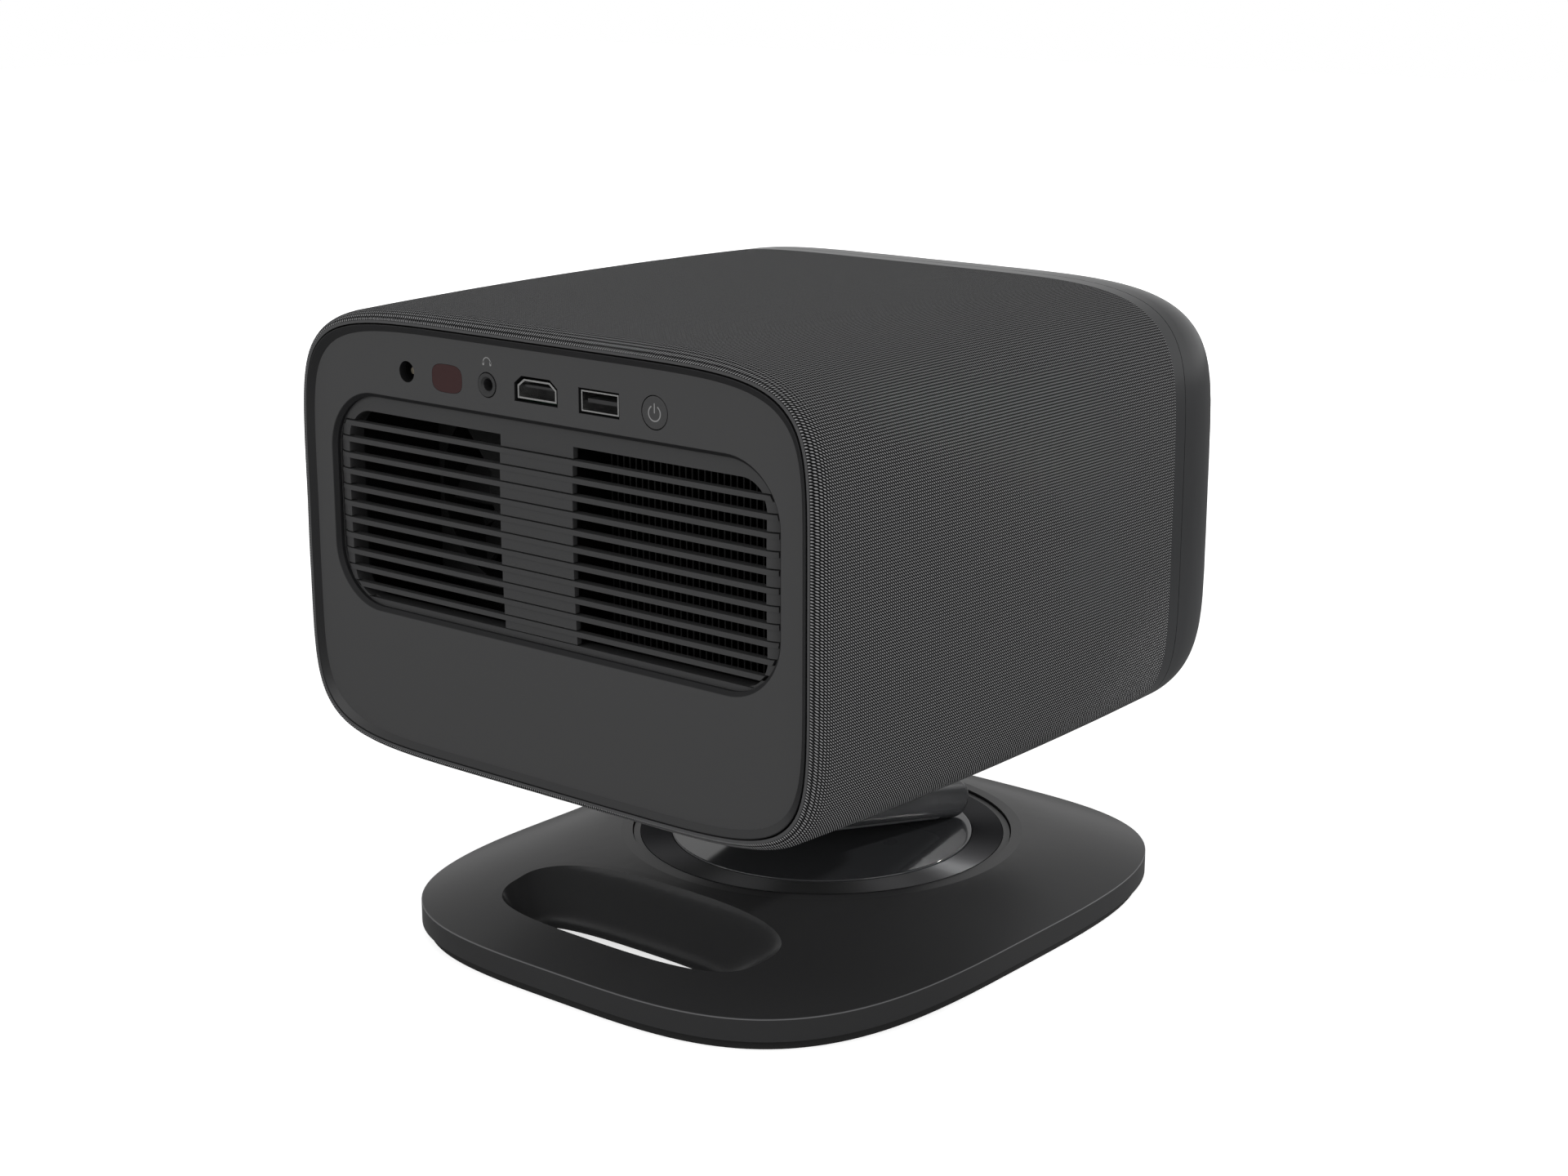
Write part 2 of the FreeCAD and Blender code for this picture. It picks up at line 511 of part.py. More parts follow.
def rear_panel():
    plate = prism_y(panel_wire(0, 0), PANEL_T)
    mouth = loft([grille_wire(0, 0), grille_wire(MOUTH_W, MOUTH_D)], True)
    plate = plate.cut(mouth).cut(prism_y(grille_wire(MOUTH_W, MOUTH_D), PANEL_T))
    front, back = depth(-1), depth(PANEL_T + 1)
    ir_z = AXIS_Z + IR_UP
    cuts = [
        rod_y(DC_R, DC_X, back, front, AXIS_Z + DC_UP),
        rod_y(JACK_COLLAR_R + JACK_SEAM, JACK_X, back, front, AXIS_Z + JACK_UP),
        rod_y(BUTTON_R + SEAM, BUTTON_X, back, front, AXIS_Z),
        prism_y(upright_wire(IR_HALF_W + PANE_FIT, IR_HALF_H + PANE_FIT, IR_POWER, front, x=IR_X, z=ir_z),
                PANEL_T + 2),
        prism_y(hdmi_wire(HDMI_SEAM, front), PANEL_T + 2),
        usb_block(USB_SEAM, back, front),
    ]
    plate = plate.cut(cuts)
    flange = prism_y(panel_wire(-FLANGE_INSET, PANEL_T - LAP), FLANGE_LEN + LAP)
    flange = flange.cut(prism_y(panel_wire(-FLANGE_INSET - FLANGE_WALL, PANEL_T - 1), FLANGE_LEN + 2))
    top = BOARD_TOP - BOARD_T
    ledges = [box(x - LEDGE_HALF_W, x + LEDGE_HALF_W, depth(LEDGE_TO), depth(PANEL_T) + LAP,
                  top - LEDGE_T, top) for x in (-LEDGE_X, LEDGE_X)]
    return fused([plate, flange] + ledges)


def bent_bar(d, thick, z0, z1):
    """Bar across the grille: its flat rear face lies at depth d, its two ends bend forwards."""
    half = GRILLE_HALF_W - MOUTH_W
    flat = half - SLAT_BEND
    bend_r = (SLAT_BEND ** 2 + SLAT_DROP ** 2) / (2 * SLAT_DROP)
    middle = flat + SLAT_BEND / 2
    sag = bend_r - math.sqrt(bend_r ** 2 - (SLAT_BEND / 2) ** 2)
    y = depth(d)
    rear = [Vec(-half, y - SLAT_DROP, z0), Vec(-middle, y - sag, z0), Vec(-flat, y, z0),
            Vec(flat, y, z0), Vec(middle, y - sag, z0), Vec(half, y - SLAT_DROP, z0)]
    front = [p + Vec(0, -thick, 0) for p in rear]
    edges = [Part.Arc(rear[0], rear[1], rear[2]), Part.LineSegment(rear[2], rear[3]),
             Part.Arc(rear[3], rear[4], rear[5]), Part.LineSegment(rear[5], front[5]),
             Part.Arc(front[5], front[4], front[3]), Part.LineSegment(front[3], front[2]),
             Part.Arc(front[2], front[1], front[0]), Part.LineSegment(front[0], rear[0])]
    return Part.Face(Part.Wire([e.toShape() for e in edges])).extrude(Vec(0, 0, z1 - z0))


def crowned_depth(z):
    """Depth of a slat's rear face: the grille bulges at mid height."""
    middle, reach = (GRILLE_TOP + GRILLE_BOTTOM) / 2, (GRILLE_TOP - GRILLE_BOTTOM) / 2
    return SLAT_DEPTH - SLAT_CROWN * (1 - ((z - middle) / reach) ** 2)


def grille_rows():
    """Heights that the bands and the centre strip fill between the slats, from the top down."""
    tops = [SLAT_FIRST - i * SLAT_PITCH for i in range(SLAT_COUNT)]
    rows = [(tops[0], GRILLE_TOP)]
    rows += [(low, high - SLAT_H) for high, low in zip(tops, tops[1:])]
    foot = GRILLE_BOTTOM + BAND_BOTTOM
    return rows + [(foot, tops[-1] - SLAT_H), (GRILLE_BOTTOM, foot)]


def rear_grille():
    inset = MOUTH_W + SEAM
    lip = prism_y(grille_wire(-COLLAR_W, PANEL_T + SEAT_FIT, -COLLAR_TOP_W), COLLAR_TO - PANEL_T - SEAT_FIT)
    lip = lip.cut([prism_y(grille_wire(inset, 0), COLLAR_FROM), prism_y(slots_wire(0), COLLAR_TO + 1)])
    plug = prism_y(grille_wire(inset, 0), COLLAR_TO)
    edges = plug.cut(prism_y(slots_wire(-1), COLLAR_TO + 2))
    pieces = [lip]
    for low, high in grille_rows():
        d = crowned_depth((low + high) / 2) + SLAT_STEP
        gap = SLAT_LINE if low > GRILLE_BOTTOM else 0
        pieces.append(bent_bar(d, BAND_T, low + gap, high).common(edges))
        strip = box(STRIP_FROM, STRIP_TO, depth(d + SLAT_T), depth(d), low + gap, high)
        pieces.append(strip.common(plug))
    trim = prism_y(grille_wire(inset + SLAT_END_GAP, 0), COLLAR_TO)
    for i in range(SLAT_COUNT):
        top = SLAT_FIRST - i * SLAT_PITCH
        pieces.append(bent_bar(crowned_depth(top - SLAT_H / 2), BAND_T, top - SLAT_H, top).common(trim))
    back = prism_y(slots_wire(SLAT_DEPTH + SLAT_T), COLLAR_TO)
    return fused(pieces).cut(back)


# ---- sockets, window and button --------------------------------------------------------------------------
def shell_feet(x, low):
    """Solder tabs between a socket's shell and the main board."""
    start = depth(SHELL_INSET + SHELL_FOOT_FROM)
    return [box(x + side * SHELL_FOOT_X - SHELL_FOOT_HALF_W, x + side * SHELL_FOOT_X + SHELL_FOOT_HALF_W,
                start - SHELL_FOOT_LEN, start, BOARD_TOP, low) for side in (-1, 1)]


def hdmi_shell():
    y = depth(SHELL_INSET)
    feet = shell_feet(HDMI_X, AXIS_Z + HDMI_UP - HDMI_H / 2 + HDMI_WALL / 2)
    shell = fused([prism_y(hdmi_wire(0, y), SHELL_LEN)] + feet)
    return shell.cut(prism_y(hdmi_wire(-HDMI_WALL, y + 1), SHELL_LEN + 1 - SHELL_BACK_T))


def hdmi_tongue():
    y, z = depth(SHELL_INSET), AXIS_Z + HDMI_UP + HDMI_BLADE_UP
    back = y - SHELL_LEN + SHELL_BACK_T
    blade = box(HDMI_X - HDMI_BLADE_HALF_W, HDMI_X + HDMI_BLADE_HALF_W, back, y - BLADE_INSET,
                z, z + HDMI_BLADE_T)
    return blade.fuse(prism_y(hdmi_wire(-HDMI_WALL, back + BLADE_ROOT_T), BLADE_ROOT_T))


def usb_shell():
    y = depth(SHELL_INSET)
    shell = usb_block(0, y - SHELL_LEN, y)
    return shell.cut(usb_block(-USB_WALL, y - SHELL_LEN + SHELL_BACK_T, y + 1))


def usb_tongue():
    y, z = depth(SHELL_INSET), AXIS_Z + USB_UP + USB_BLADE_UP
    back = y - SHELL_LEN + SHELL_BACK_T
    blade = box(USB_X - USB_BLADE_HALF_W, USB_X + USB_BLADE_HALF_W, back, y - BLADE_INSET, z, z + USB_BLADE_T)
    return blade.fuse(usb_block(-USB_WALL, back, back + BLADE_ROOT_T))


def headphone_jack():
    z = AXIS_Z + JACK_UP
    face = depth(-JACK_COLLAR_RISE)
    collar = rod_y(JACK_COLLAR_R, JACK_X, depth(JACK_BODY_FROM + 1), face, z)
    body = box(JACK_X - JACK_BODY_HALF_W, JACK_X + JACK_BODY_HALF_W, depth(JACK_LEN + 1),
               depth(JACK_BODY_FROM), BOARD_TOP, z + JACK_BODY_UP)
    bore = rod_y(JACK_BORE_R, JACK_X, depth(JACK_LEN), face + 1, z)
    mouth = Part.makeCone(JACK_BORE_R, JACK_BORE_R + JACK_MOUTH_W, JACK_MOUTH_W,
                          Vec(JACK_X, face - JACK_MOUTH_W, z), Vec(0, 1, 0))
    return fused([collar, body]).cut(bore).cut(mouth)


def dc_jack():
    z = AXIS_Z + DC_UP
    body = box(DC_X - DC_BODY_HALF_W, DC_X + DC_BODY_HALF_W, depth(DC_BODY_LEN), depth(PANEL_T + SEAT_FIT),
               BOARD_TOP, z + DC_BODY_HALF_W)
    return body.cut(rod_y(DC_R - DC_FIT, DC_X, depth(DC_LEN), depth(0), z))


def dc_pin():
    return rod_y(DC_PIN_R, DC_X, depth(DC_LEN), depth(DC_PIN_INSET), AXIS_Z + DC_UP)


def ir_window():
    z = AXIS_Z + IR_UP
    pane = prism_y(upright_wire(IR_HALF_W, IR_HALF_H, IR_POWER, depth(0), x=IR_X, z=z), PANEL_T)
    lip = box(IR_X - IR_LIP_HALF_W, IR_X + IR_LIP_HALF_W, depth(PANEL_T + IR_LIP_T), depth(PANEL_T),
              z - IR_LIP_LOW, z + IR_LIP_HIGH)
    return pane.fuse(lip)


def ir_receiver():
    eye = Part.makeSphere(IR_EYE_R, Vec(IR_X, depth(IR_EYE_DEPTH), AXIS_Z + IR_UP))
    case = box(IR_X - IR_CASE_HALF_W, IR_X + IR_CASE_HALF_W, depth(IR_EYE_DEPTH + IR_CASE_T),
               depth(IR_EYE_DEPTH), BOARD_TOP, AXIS_Z + IR_CASE_UP)
    return fused([case, eye])


def power_button():
    z, face = AXIS_Z, depth(-BUTTON_RISE)
    seat = PANEL_T + FIT
    cap = rod_y(BUTTON_R, BUTTON_X, depth(seat + BUTTON_FLANGE_T), face, z)
    cap = cap.makeFillet(BUTTON_EDGE, [e for e in cap.Edges if len(e.Vertexes) == 1
                                       and abs(e.Vertexes[0].Y - face) < 0.01])
    flange = rod_y(BUTTON_R + BUTTON_FLANGE_W, BUTTON_X, depth(seat + BUTTON_FLANGE_T), depth(seat), z)
    stem = rod_y(STEM_R, BUTTON_X, depth(seat + STEM_END), depth(BUTTON_T), z)
    return fused([cap, flange, stem])


def button_switch():
    front = PANEL_T + FIT + STEM_END + BUTTON_TRAVEL + FIT
    body = box(BUTTON_X - SWITCH_HALF_W, BUTTON_X + SWITCH_HALF_W, depth(front + SWITCH_KEY_T + SWITCH_LEN),
               depth(front + SWITCH_KEY_T), BOARD_TOP, AXIS_Z + SWITCH_UP)
    key = rod_y(SWITCH_KEY_R, BUTTON_X, depth(front + SWITCH_KEY_T + 1), depth(front), AXIS_Z)
    return fused([body, key])


def main_board():
    low = BOARD_TOP - BOARD_T
    board = box(-BOARD_HALF_W, BOARD_HALF_W, depth(BOARD_TO), depth(BOARD_FROM), low, BOARD_TOP)
    board = board.cut([rod_z(BOARD_HOLE_R, x, depth(d), low - 1, BOARD_TOP + 1)
                       for x in (-BOARD_HOLE_X, BOARD_HOLE_X) for d in BOARD_HOLE_DEPTHS])
    chips = [box(x0, x1, depth(to), depth(start), BOARD_TOP, BOARD_TOP + high)
             for x0, x1, start, to, high in CHIPS]
    coils = [rod_z(COIL_R, x, depth(COIL_DEPTH), BOARD_TOP, BOARD_TOP + COIL_H) for x in COIL_XS]
    return fused([board] + chips + coils)


# ---- cooling ---------------------------------------------------------------------------------------------
def fan_places():
    """X of each fan's axis and the depth of its rear face: one before the fan wall, one beyond it."""
    return [(FAN_X, WALL_DEPTH - FAN_T), (-FAN_X, WALL_DEPTH + WALL_T)]


def fan_frame(x, d):
    y0, y1 = depth(d + FAN_T), depth(d)
    half = FAN_SIZE / 2
    frame = box(x - half, x + half, y0, y1, FAN_Z - half, FAN_Z + half)
    frame = frame.cut(rod_y(FAN_BORE_R, x, y0 - 1, y1 + 1, FAN_Z))
    spider = [rod_y(SPIDER_R, x, y0, y0 + SPIDER_T, FAN_Z)]
    for angle in SPOKE_ANGLES:
        arm = box(x, x + FAN_BORE_R + 1, y0, y0 + SPIDER_T - 1, FAN_Z - SPOKE_W / 2, FAN_Z + SPOKE_W / 2)
        arm.rotate(Vec(x, y0, FAN_Z), Vec(0, 1, 0), angle)
        spider.append(arm)
    spider.append(rod_y(SHAFT_R, x, y0, y0 + SPIDER_T + ROTOR_HUB_T, FAN_Z))
    return fused([frame] + spider)


def fan_frames():
    return Part.makeCompound([fan_frame(x, d) for x, d in fan_places()])


def fan_rotor(x, d):
    start = depth(d + FAN_T) + SPIDER_T + FIT
    end = start + ROTOR_HUB_T
    hub = rod_y(ROTOR_HUB_R, x, start, end, FAN_Z)
    reach = rod_y(ROTOR_R, x, start, end, FAN_Z)
    blades = []
    middle = (start + end) / 2
    for k in range(BLADE_COUNT):
        blade = box(x + ROTOR_HUB_R - BLADE_ROOT, x + ROTOR_R + 1, middle - BLADE_T / 2, middle + BLADE_T / 2,
                    FAN_Z - BLADE_CHORD / 2, FAN_Z + BLADE_CHORD / 2)
        blade.rotate(Vec(x, middle, FAN_Z), Vec(1, 0, 0), BLADE_PITCH)
        blade.rotate(Vec(x, middle, FAN_Z), Vec(0, 1, 0), 360 / BLADE_COUNT * k)
        blades.append(blade.common(reach))
    return fused([hub] + blades).cut(rod_y(SHAFT_R + RUN, x, start - 1, end + 1, FAN_Z))


def fan_wall():
    y0, y1 = depth(WALL_DEPTH + WALL_T), depth(WALL_DEPTH)
    top = BOARD_TOP - BOARD_T
    wall = box(-CHASSIS_HALF_W, CHASSIS_HALF_W, y0, y1, DECK, top)
    divider = box(DIVIDER_X, DIVIDER_X + WALL_T, y1 - 1, depth(DIVIDER_FROM), DECK, top)
    foot = box(-CHASSIS_HALF_W, CHASSIS_HALF_W, y0 - WALL_FOOT_W, y0 + 1, DECK, DECK + WALL_FOOT_T)
    bores = [rod_y(FAN_BORE_R, side * FAN_X, y0 - 1, y1 + 1, FAN_Z) for side in (-1, 1)]
    reach = PIPE_R + 2 * FIT
    passage = box(PIPE_X - reach, PIPE_X + reach, y0 - WALL_FOOT_W - 1, y1 + 1, DECK - 1,
                  pipe_low(1) + reach)
    return fused([wall, divider, foot]).cut(bores + [passage] + bolt_pockets())


def heat_sink():
    first = -FAN_X - FIN_PITCH * (FIN_COUNT - 1) / 2
    last = first + (FIN_COUNT - 1) * FIN_PITCH + FIN_T
    y0, y1 = depth(FIN_FROM + FIN_LEN), depth(FIN_FROM)
    plate = box(first, last, y0, y1, FIN_Z - FIN_PLATE_T, FIN_Z)
    fins = [box(first + i * FIN_PITCH, first + i * FIN_PITCH + FIN_T, y0, y1, FIN_Z - 0.5, FIN_Z + FIN_H)
            for i in range(FIN_COUNT)]
    legs = [box(x, x + 6.0, y0 + 4, y0 + 16, DECK, FIN_Z - 1) for x in (first, last - 6.0)]
    bores = [rod_x(PIPE_R, first - 1, last + 1, depth(d), FIN_Z + PIPE_RISE) for d in PIPE_DEPTHS]
    return fused([plate] + fins + legs).cut(bores)


def pipe_low(i):
    """Height of a heat pipe's lower run."""
    return DECK + PIPE_R + PIPE_STEP * i


def heat_pipes():
    """Through the fins, down beside them, then forwards to the lamp module."""
    pipes = []
    for i, d in enumerate(PIPE_DEPTHS):
        high, low, y = FIN_Z + PIPE_RISE, pipe_low(i), depth(d)
        pipes.append(fused([rod_x(PIPE_R, -FAN_X - PIPE_REACH, PIPE_X, y, high),
                            Part.makeSphere(PIPE_R, Vec(PIPE_X, y, high)),
                            rod_z(PIPE_R, PIPE_X, y, low, high),
                            Part.makeSphere(PIPE_R, Vec(PIPE_X, y, low)),
                            rod_y(PIPE_R, PIPE_X, depth(LED_FROM), y, low)]))
    return Part.makeCompound(pipes)


# ---- optics ----------------------------------------------------------------------------------------------
def led_module():
    joint = depth(LED_FROM + LED_PLATE_T)
    body = box(LED_X0, LED_X1, depth(ENGINE_FROM), joint, DECK, LED_TOP)
    plate = box(LED_X0, LED_X1, joint, depth(LED_FROM), DECK, DECK + LED_PLATE_H)
    return body.fuse(plate).cut(bolt_pockets())


def optical_engine():
    y0, y1 = depth(ENGINE_TO), depth(ENGINE_FROM)
    body = box(-ENGINE_HALF_W, ENGINE_HALF_W, y0, y1, ENGINE_LOW, ENGINE_HIGH)
    rib_x = ENGINE_HALF_W + ENGINE_RIB_H
    ribs = [box(-rib_x, rib_x, depth(d) - ENGINE_RIB_T / 2, depth(d) + ENGINE_RIB_T / 2,
                ENGINE_LOW, ENGINE_HIGH) for d in ENGINE_RIBS]
    legs = [box(x - ENGINE_LEG_W / 2, x + ENGINE_LEG_W / 2, depth(d) - ENGINE_LEG_LEN / 2,
                depth(d) + ENGINE_LEG_LEN / 2, DECK, ENGINE_LOW + 1)
            for x in (-ENGINE_LEG_X, ENGINE_LEG_X) for d in ENGINE_LEGS]
    bore = rod_y(BARREL_R - BARREL_T, 0, y0 - 1, y0 + ENGINE_BORE_LEN, LENS_Z)
    hollow = box(-ENGINE_HALF_W + ENGINE_WALL, ENGINE_HALF_W - ENGINE_WALL, y0 + GUIDE_SINK + 1,
                 y1 - ENGINE_WALL, ENGINE_LOW + ENGINE_WALL, ENGINE_HIGH - ENGINE_WALL)
    sockets = [rod_y(GUIDE_R, x, y0 - 1, y0 + GUIDE_SINK, LENS_Z) for x in (-GUIDE_X, GUIDE_X)]
    return fused([body] + ribs + legs).cut([bore, hollow] + sockets)


def lens_barrel():
    y1 = depth(ENGINE_TO)
    tube = rod_y(BARREL_R, 0, y1 - BARREL_LEN, y1, LENS_Z)
    return tube.cut(rod_y(BARREL_R - BARREL_T, 0, y1 - BARREL_LEN - 1, y1 + 1, LENS_Z))


def guide_rods():
    rods = [rod_y(GUIDE_R, x, depth(GUIDE_TO), depth(ENGINE_TO - GUIDE_SINK), LENS_Z)
            for x in (-GUIDE_X, GUIDE_X)]
    return Part.makeCompound(rods)


def focus_motor():
    y1 = depth(ENGINE_TO)
    can = rod_y(MOTOR_R, 0, y1 - MOTOR_LEN, y1, SCREW_Z)
    return can.cut(rod_y(SCREW_SHAFT_R + RUN, 0, y1 - MOTOR_LEN - 1, y1 - 3, SCREW_Z))


def focus_screw():
    face = depth(ENGINE_TO + MOTOR_LEN + FIT)
    thread = rod_y(SCREW_R, 0, depth(SCREW_TO), face, SCREW_Z)
    shaft = rod_y(SCREW_SHAFT_R, 0, face - 1, depth(ENGINE_TO + 3 + FIT), SCREW_Z)
    return thread.fuse(shaft)


def carriage_radius():
    return BARREL_R - BARREL_T - FIT


def lens_carriage():
    outer = carriage_radius()
    y0, y1 = depth(CARRIAGE_TO), depth(CARRIAGE_FROM)
    e0, e1 = depth(EAR_FROM + EAR_T), depth(EAR_FROM)
    ears = box(-GUIDE_X - EAR_W, GUIDE_X + EAR_W, e0, e1, LENS_Z - EAR_HALF_H, LENS_Z + EAR_HALF_H)
    tail = box(-TAIL_HALF_W, TAIL_HALF_W, e0, e1, SCREW_Z - TAIL_BELOW, LENS_Z - EAR_R + TAIL_LAP)
    body = fused([rod_y(outer, 0, y0, y1, LENS_Z), rod_y(EAR_R, 0, e0, e1, LENS_Z), ears, tail])
    holes = [rod_y(outer - CARRIAGE_T, 0, y0 - 1, y1 + 1, LENS_Z),
             rod_y(SCREW_R + RUN, 0, e0 - 1, e1 + 1, SCREW_Z)]
    holes += [rod_y(GUIDE_R + RUN, x, e0 - 1, e1 + 1, LENS_Z) for x in (-GUIDE_X, GUIDE_X)]
    return body.cut(holes)


def lens_glass():
    radius = carriage_radius() - CARRIAGE_T
    lenses = []
    for d, bulge in LENSES:
        ball_r = (radius * radius + bulge * bulge) / (2 * bulge)
        nose = depth(d + LENS_EDGE_T + bulge)
        ball = Part.makeSphere(ball_r, Vec(0, nose + ball_r, LENS_Z))
        lenses.append(rod_y(radius, 0, nose, depth(d), LENS_Z).common(ball))
    return Part.makeCompound(lenses)


def camera_module():
    face = depth(HEAD_DEPTH - COVER_FACE_T)
    body = box(CAMERA_X0, CAMERA_X1, face, face + CAMERA_T, BODY_Z - CAMERA_HALF_H, BODY_Z + CAMERA_HALF_H)
    return body.fuse(rod_y(CAMERA_EYE_R, CAMERA_EYE_X, face - CAMERA_EYE_LEN, face + 1, BODY_Z))


# ---- the rest of the head's inside -----------------------------------------------------------------------
def chassis_plate():
    plate = box(-CHASSIS_HALF_W, CHASSIS_HALF_W, depth(CHASSIS_TO), depth(CHASSIS_FROM), CHASSIS_Z, DECK)
    holes = [rod_z(POST_PILOT_R, x, depth(d), CHASSIS_Z - 1, DECK + 1)
             for x in (-POST_X, POST_X) for d in POST_DEPTHS]
    holes += [rod_z(BRACKET_BOLT_R, x, y, CHASSIS_Z - 1, DECK + 1) for x, y in bracket_bolts()]
    vents = [box(x, x + VENT_W, depth(VENT_TO), depth(VENT_FROM), CHASSIS_Z - 1, DECK + 1) for x in VENT_XS]
    return plate.cut(holes + vents)


def speakers():
    boxes = []
    for side in (-1, 1):
        y0, y1 = depth(SPEAKER_FROM + SPEAKER_LEN), depth(SPEAKER_FROM)
        case = box(SPEAKER_X0, SPEAKER_X1, y0, y1, DECK, SPEAKER_TOP)
        hollow = box(SPEAKER_X0 + SPEAKER_WALL, SPEAKER_X1 - SPEAKER_WALL - 1,
                     y0 + SPEAKER_WALL, y1 - SPEAKER_WALL, DECK - 1, SPEAKER_TOP - SPEAKER_WALL)
        place = Vec(SPEAKER_X1 - 1, (y0 + y1) / 2, SPEAKER_TOP - DRIVER_DOWN)
        driver = Part.makeCylinder(DRIVER_R, DRIVER_T, place, Vec(1, 0, 0))
        cone = Part.makeCone(CONE_R0, CONE_R1, CONE_H, place + Vec(DRIVER_T - CONE_H, 0, 0), Vec(1, 0, 0))
        speaker = case.fuse(driver).cut([cone, hollow])
        boxes.append(speaker if side > 0 else speaker.mirror(Vec(0, 0, 0), Vec(1, 0, 0)))
    return Part.makeCompound(boxes)


def power_board():
    low = DECK + POWER_UP
    top = low + POWER_T
    board = box(-POWER_HALF_W, POWER_HALF_W, depth(POWER_TO), depth(POWER_FROM), low, top)
    posts = [rod_z(POWER_POST_R, x, depth(d), DECK, low + 1)
             for x in (-POWER_POST_X, POWER_POST_X) for d in POWER_POSTS]
    cans = [rod_z(CAN_R, x, depth(CAN_DEPTH), low + 1, top + CAN_H) for x in CAN_XS]
    coils = [box(x0, x1, depth(to), depth(start), low + 1, top + high) for x0, x1, start, to, high in COILS]
    return fused([board] + posts + cans + coils)


def wifi_antenna():
    return box(ANTENNA_X0, ANTENNA_X1, depth(ANTENNA_DEPTH + ANTENNA_T), depth(ANTENNA_DEPTH),
               BOARD_TOP, BOARD_TOP + ANTENNA_H)


def bracket_bolts():
    return [(x, TOP_Y + y) for x in (-BRACKET_BOLT_X, BRACKET_BOLT_X)
            for y in (-BRACKET_BOLT_Y, BRACKET_BOLT_Y)]


def bolt_pockets():
    """Room for the bracket bolts' heads in what stands on the chassis."""
    return [rod_z(HEAD_SCREW_R + FIT, x, y, DECK - 1, DECK + HEAD_SCREW_H + FIT) for x, y in bracket_bolts()]


def head_screws():
    down = Vec(0, 0, -1)
    screws = [screw(HEAD_SCREW_R, HEAD_SCREW_H, POST_PILOT_R, HEAD_SCREW_LEN, Vec(x, depth(d), DECK), down)
              for x in (-POST_X, POST_X) for d in POST_DEPTHS]
    screws += [screw(HEAD_SCREW_R, HEAD_SCREW_H, BRACKET_BOLT_R, DECK - FLANGE_FROM - FIT,
                     Vec(x, y, DECK), down)
               for x, y in bracket_bolts()]
    return Part.makeCompound(screws)


# ---- hinges and arm --------------------------------------------------------------------------------------
def head_knuckle():
    """Upper hinge block: its flange lies inside the head, below the bracket."""
    barrel = rod_x(KNUCKLE_R, -KNUCKLE_HALF_W, KNUCKLE_HALF_W, TOP_Y, TOP_Z)
    stalk = box(-KNUCKLE_HALF_W, KNUCKLE_HALF_W, TOP_Y - KNUCKLE_R, TOP_Y + KNUCKLE_R, TOP_Z, FLANGE_FROM + 1)
    flange = box(-FLANGE_X, FLANGE_X, TOP_Y - FLANGE_Y, TOP_Y + FLANGE_Y, FLANGE_FROM, FLANGE_FROM + FLANGE_T)
    bore = rod_x(PIN_R + RUN, -KNUCKLE_HALF_W - 1, KNUCKLE_HALF_W + 1, TOP_Y, TOP_Z)
    bolts = [rod_z(BRACKET_BOLT_R, x, y, FLANGE_FROM - 1, FLANGE_FROM + FLANGE_T + 1)
             for x, y in bracket_bolts()]
    return fused([barrel, stalk, flange]).cut([bore] + bolts)


def hinge_bracket():
    low = FLANGE_FROM + FLANGE_T
    block = box(-BRACKET_X, BRACKET_X, TOP_Y - BRACKET_Y, TOP_Y + BRACKET_Y, low, CHASSIS_Z)
    return block.cut([rod_z(BRACKET_BOLT_R, x, y, low - 1, CHASSIS_Z + 1) for x, y in bracket_bolts()])


def base_knuckle():
    """Lower hinge block: its foot is let into the turntable, below the centre cap."""
    barrel = rod_x(KNUCKLE_R, -KNUCKLE_HALF_W, KNUCKLE_HALF_W, LOW_Y, LOW_Z)
    stalk = box(-KNUCKLE_HALF_W, KNUCKLE_HALF_W, LOW_Y - KNUCKLE_R, LOW_Y + KNUCKLE_R, DISC_TOP - 1, LOW_Z)
    foot = box(-BLOCK_FOOT_X, BLOCK_FOOT_X, LOW_Y - BLOCK_FOOT_Y, LOW_Y + BLOCK_FOOT_Y,
               DISC_TOP - BLOCK_FOOT_T, DISC_TOP)
    bore = rod_x(PIN_R + RUN, -KNUCKLE_HALF_W - 1, KNUCKLE_HALF_W + 1, LOW_Y, LOW_Z)
    return fused([barrel, stalk, foot]).cut(bore)


def in_arm(shape):
    """Turn a shape drawn with the arm level, lower hinge at the zero point, into its place."""
    shape.rotate(Vec(0, 0, 0), Vec(1, 0, 0), ARM_SLOPE)
    shape.translate(Vec(0, LOW_Y, LOW_Z))
    return shape


def arm_blank():
    bar = fused([box(-ARM_HALF_W, ARM_HALF_W, 0, ARM_LEN, -ARM_R, ARM_R),
                 rod_x(ARM_R, -ARM_HALF_W, ARM_HALF_W, 0, 0),
                 rod_x(ARM_R, -ARM_HALF_W, ARM_HALF_W, ARM_LEN, 0)])
    rims = [e for e in bar.Edges if all(abs(abs(v.X) - ARM_HALF_W) < 0.01 for v in e.Vertexes)
            and abs(e.BoundBox.XLength) < 0.01]
    return bar.makeFillet(ARM_EDGE, rims)


def arm_forks():
    half = KNUCKLE_HALF_W + FORK_GAP
    reach = ARM_R + 1
    return [box(-half, half, -reach, FORK_DEPTH, -reach, reach),
            box(-half, half, ARM_LEN - FORK_DEPTH, ARM_LEN + reach, -reach, reach)]


def arm_lower_zone():
    """Everything the cover plate takes from the arm's blank."""
    return box(-ARM_HALF_W - 1, ARM_HALF_W + 1, FORK_DEPTH + 2, ARM_LEN - FORK_DEPTH - 2,
               -ARM_R - 1, -ARM_R + ARM_PLATE_T)


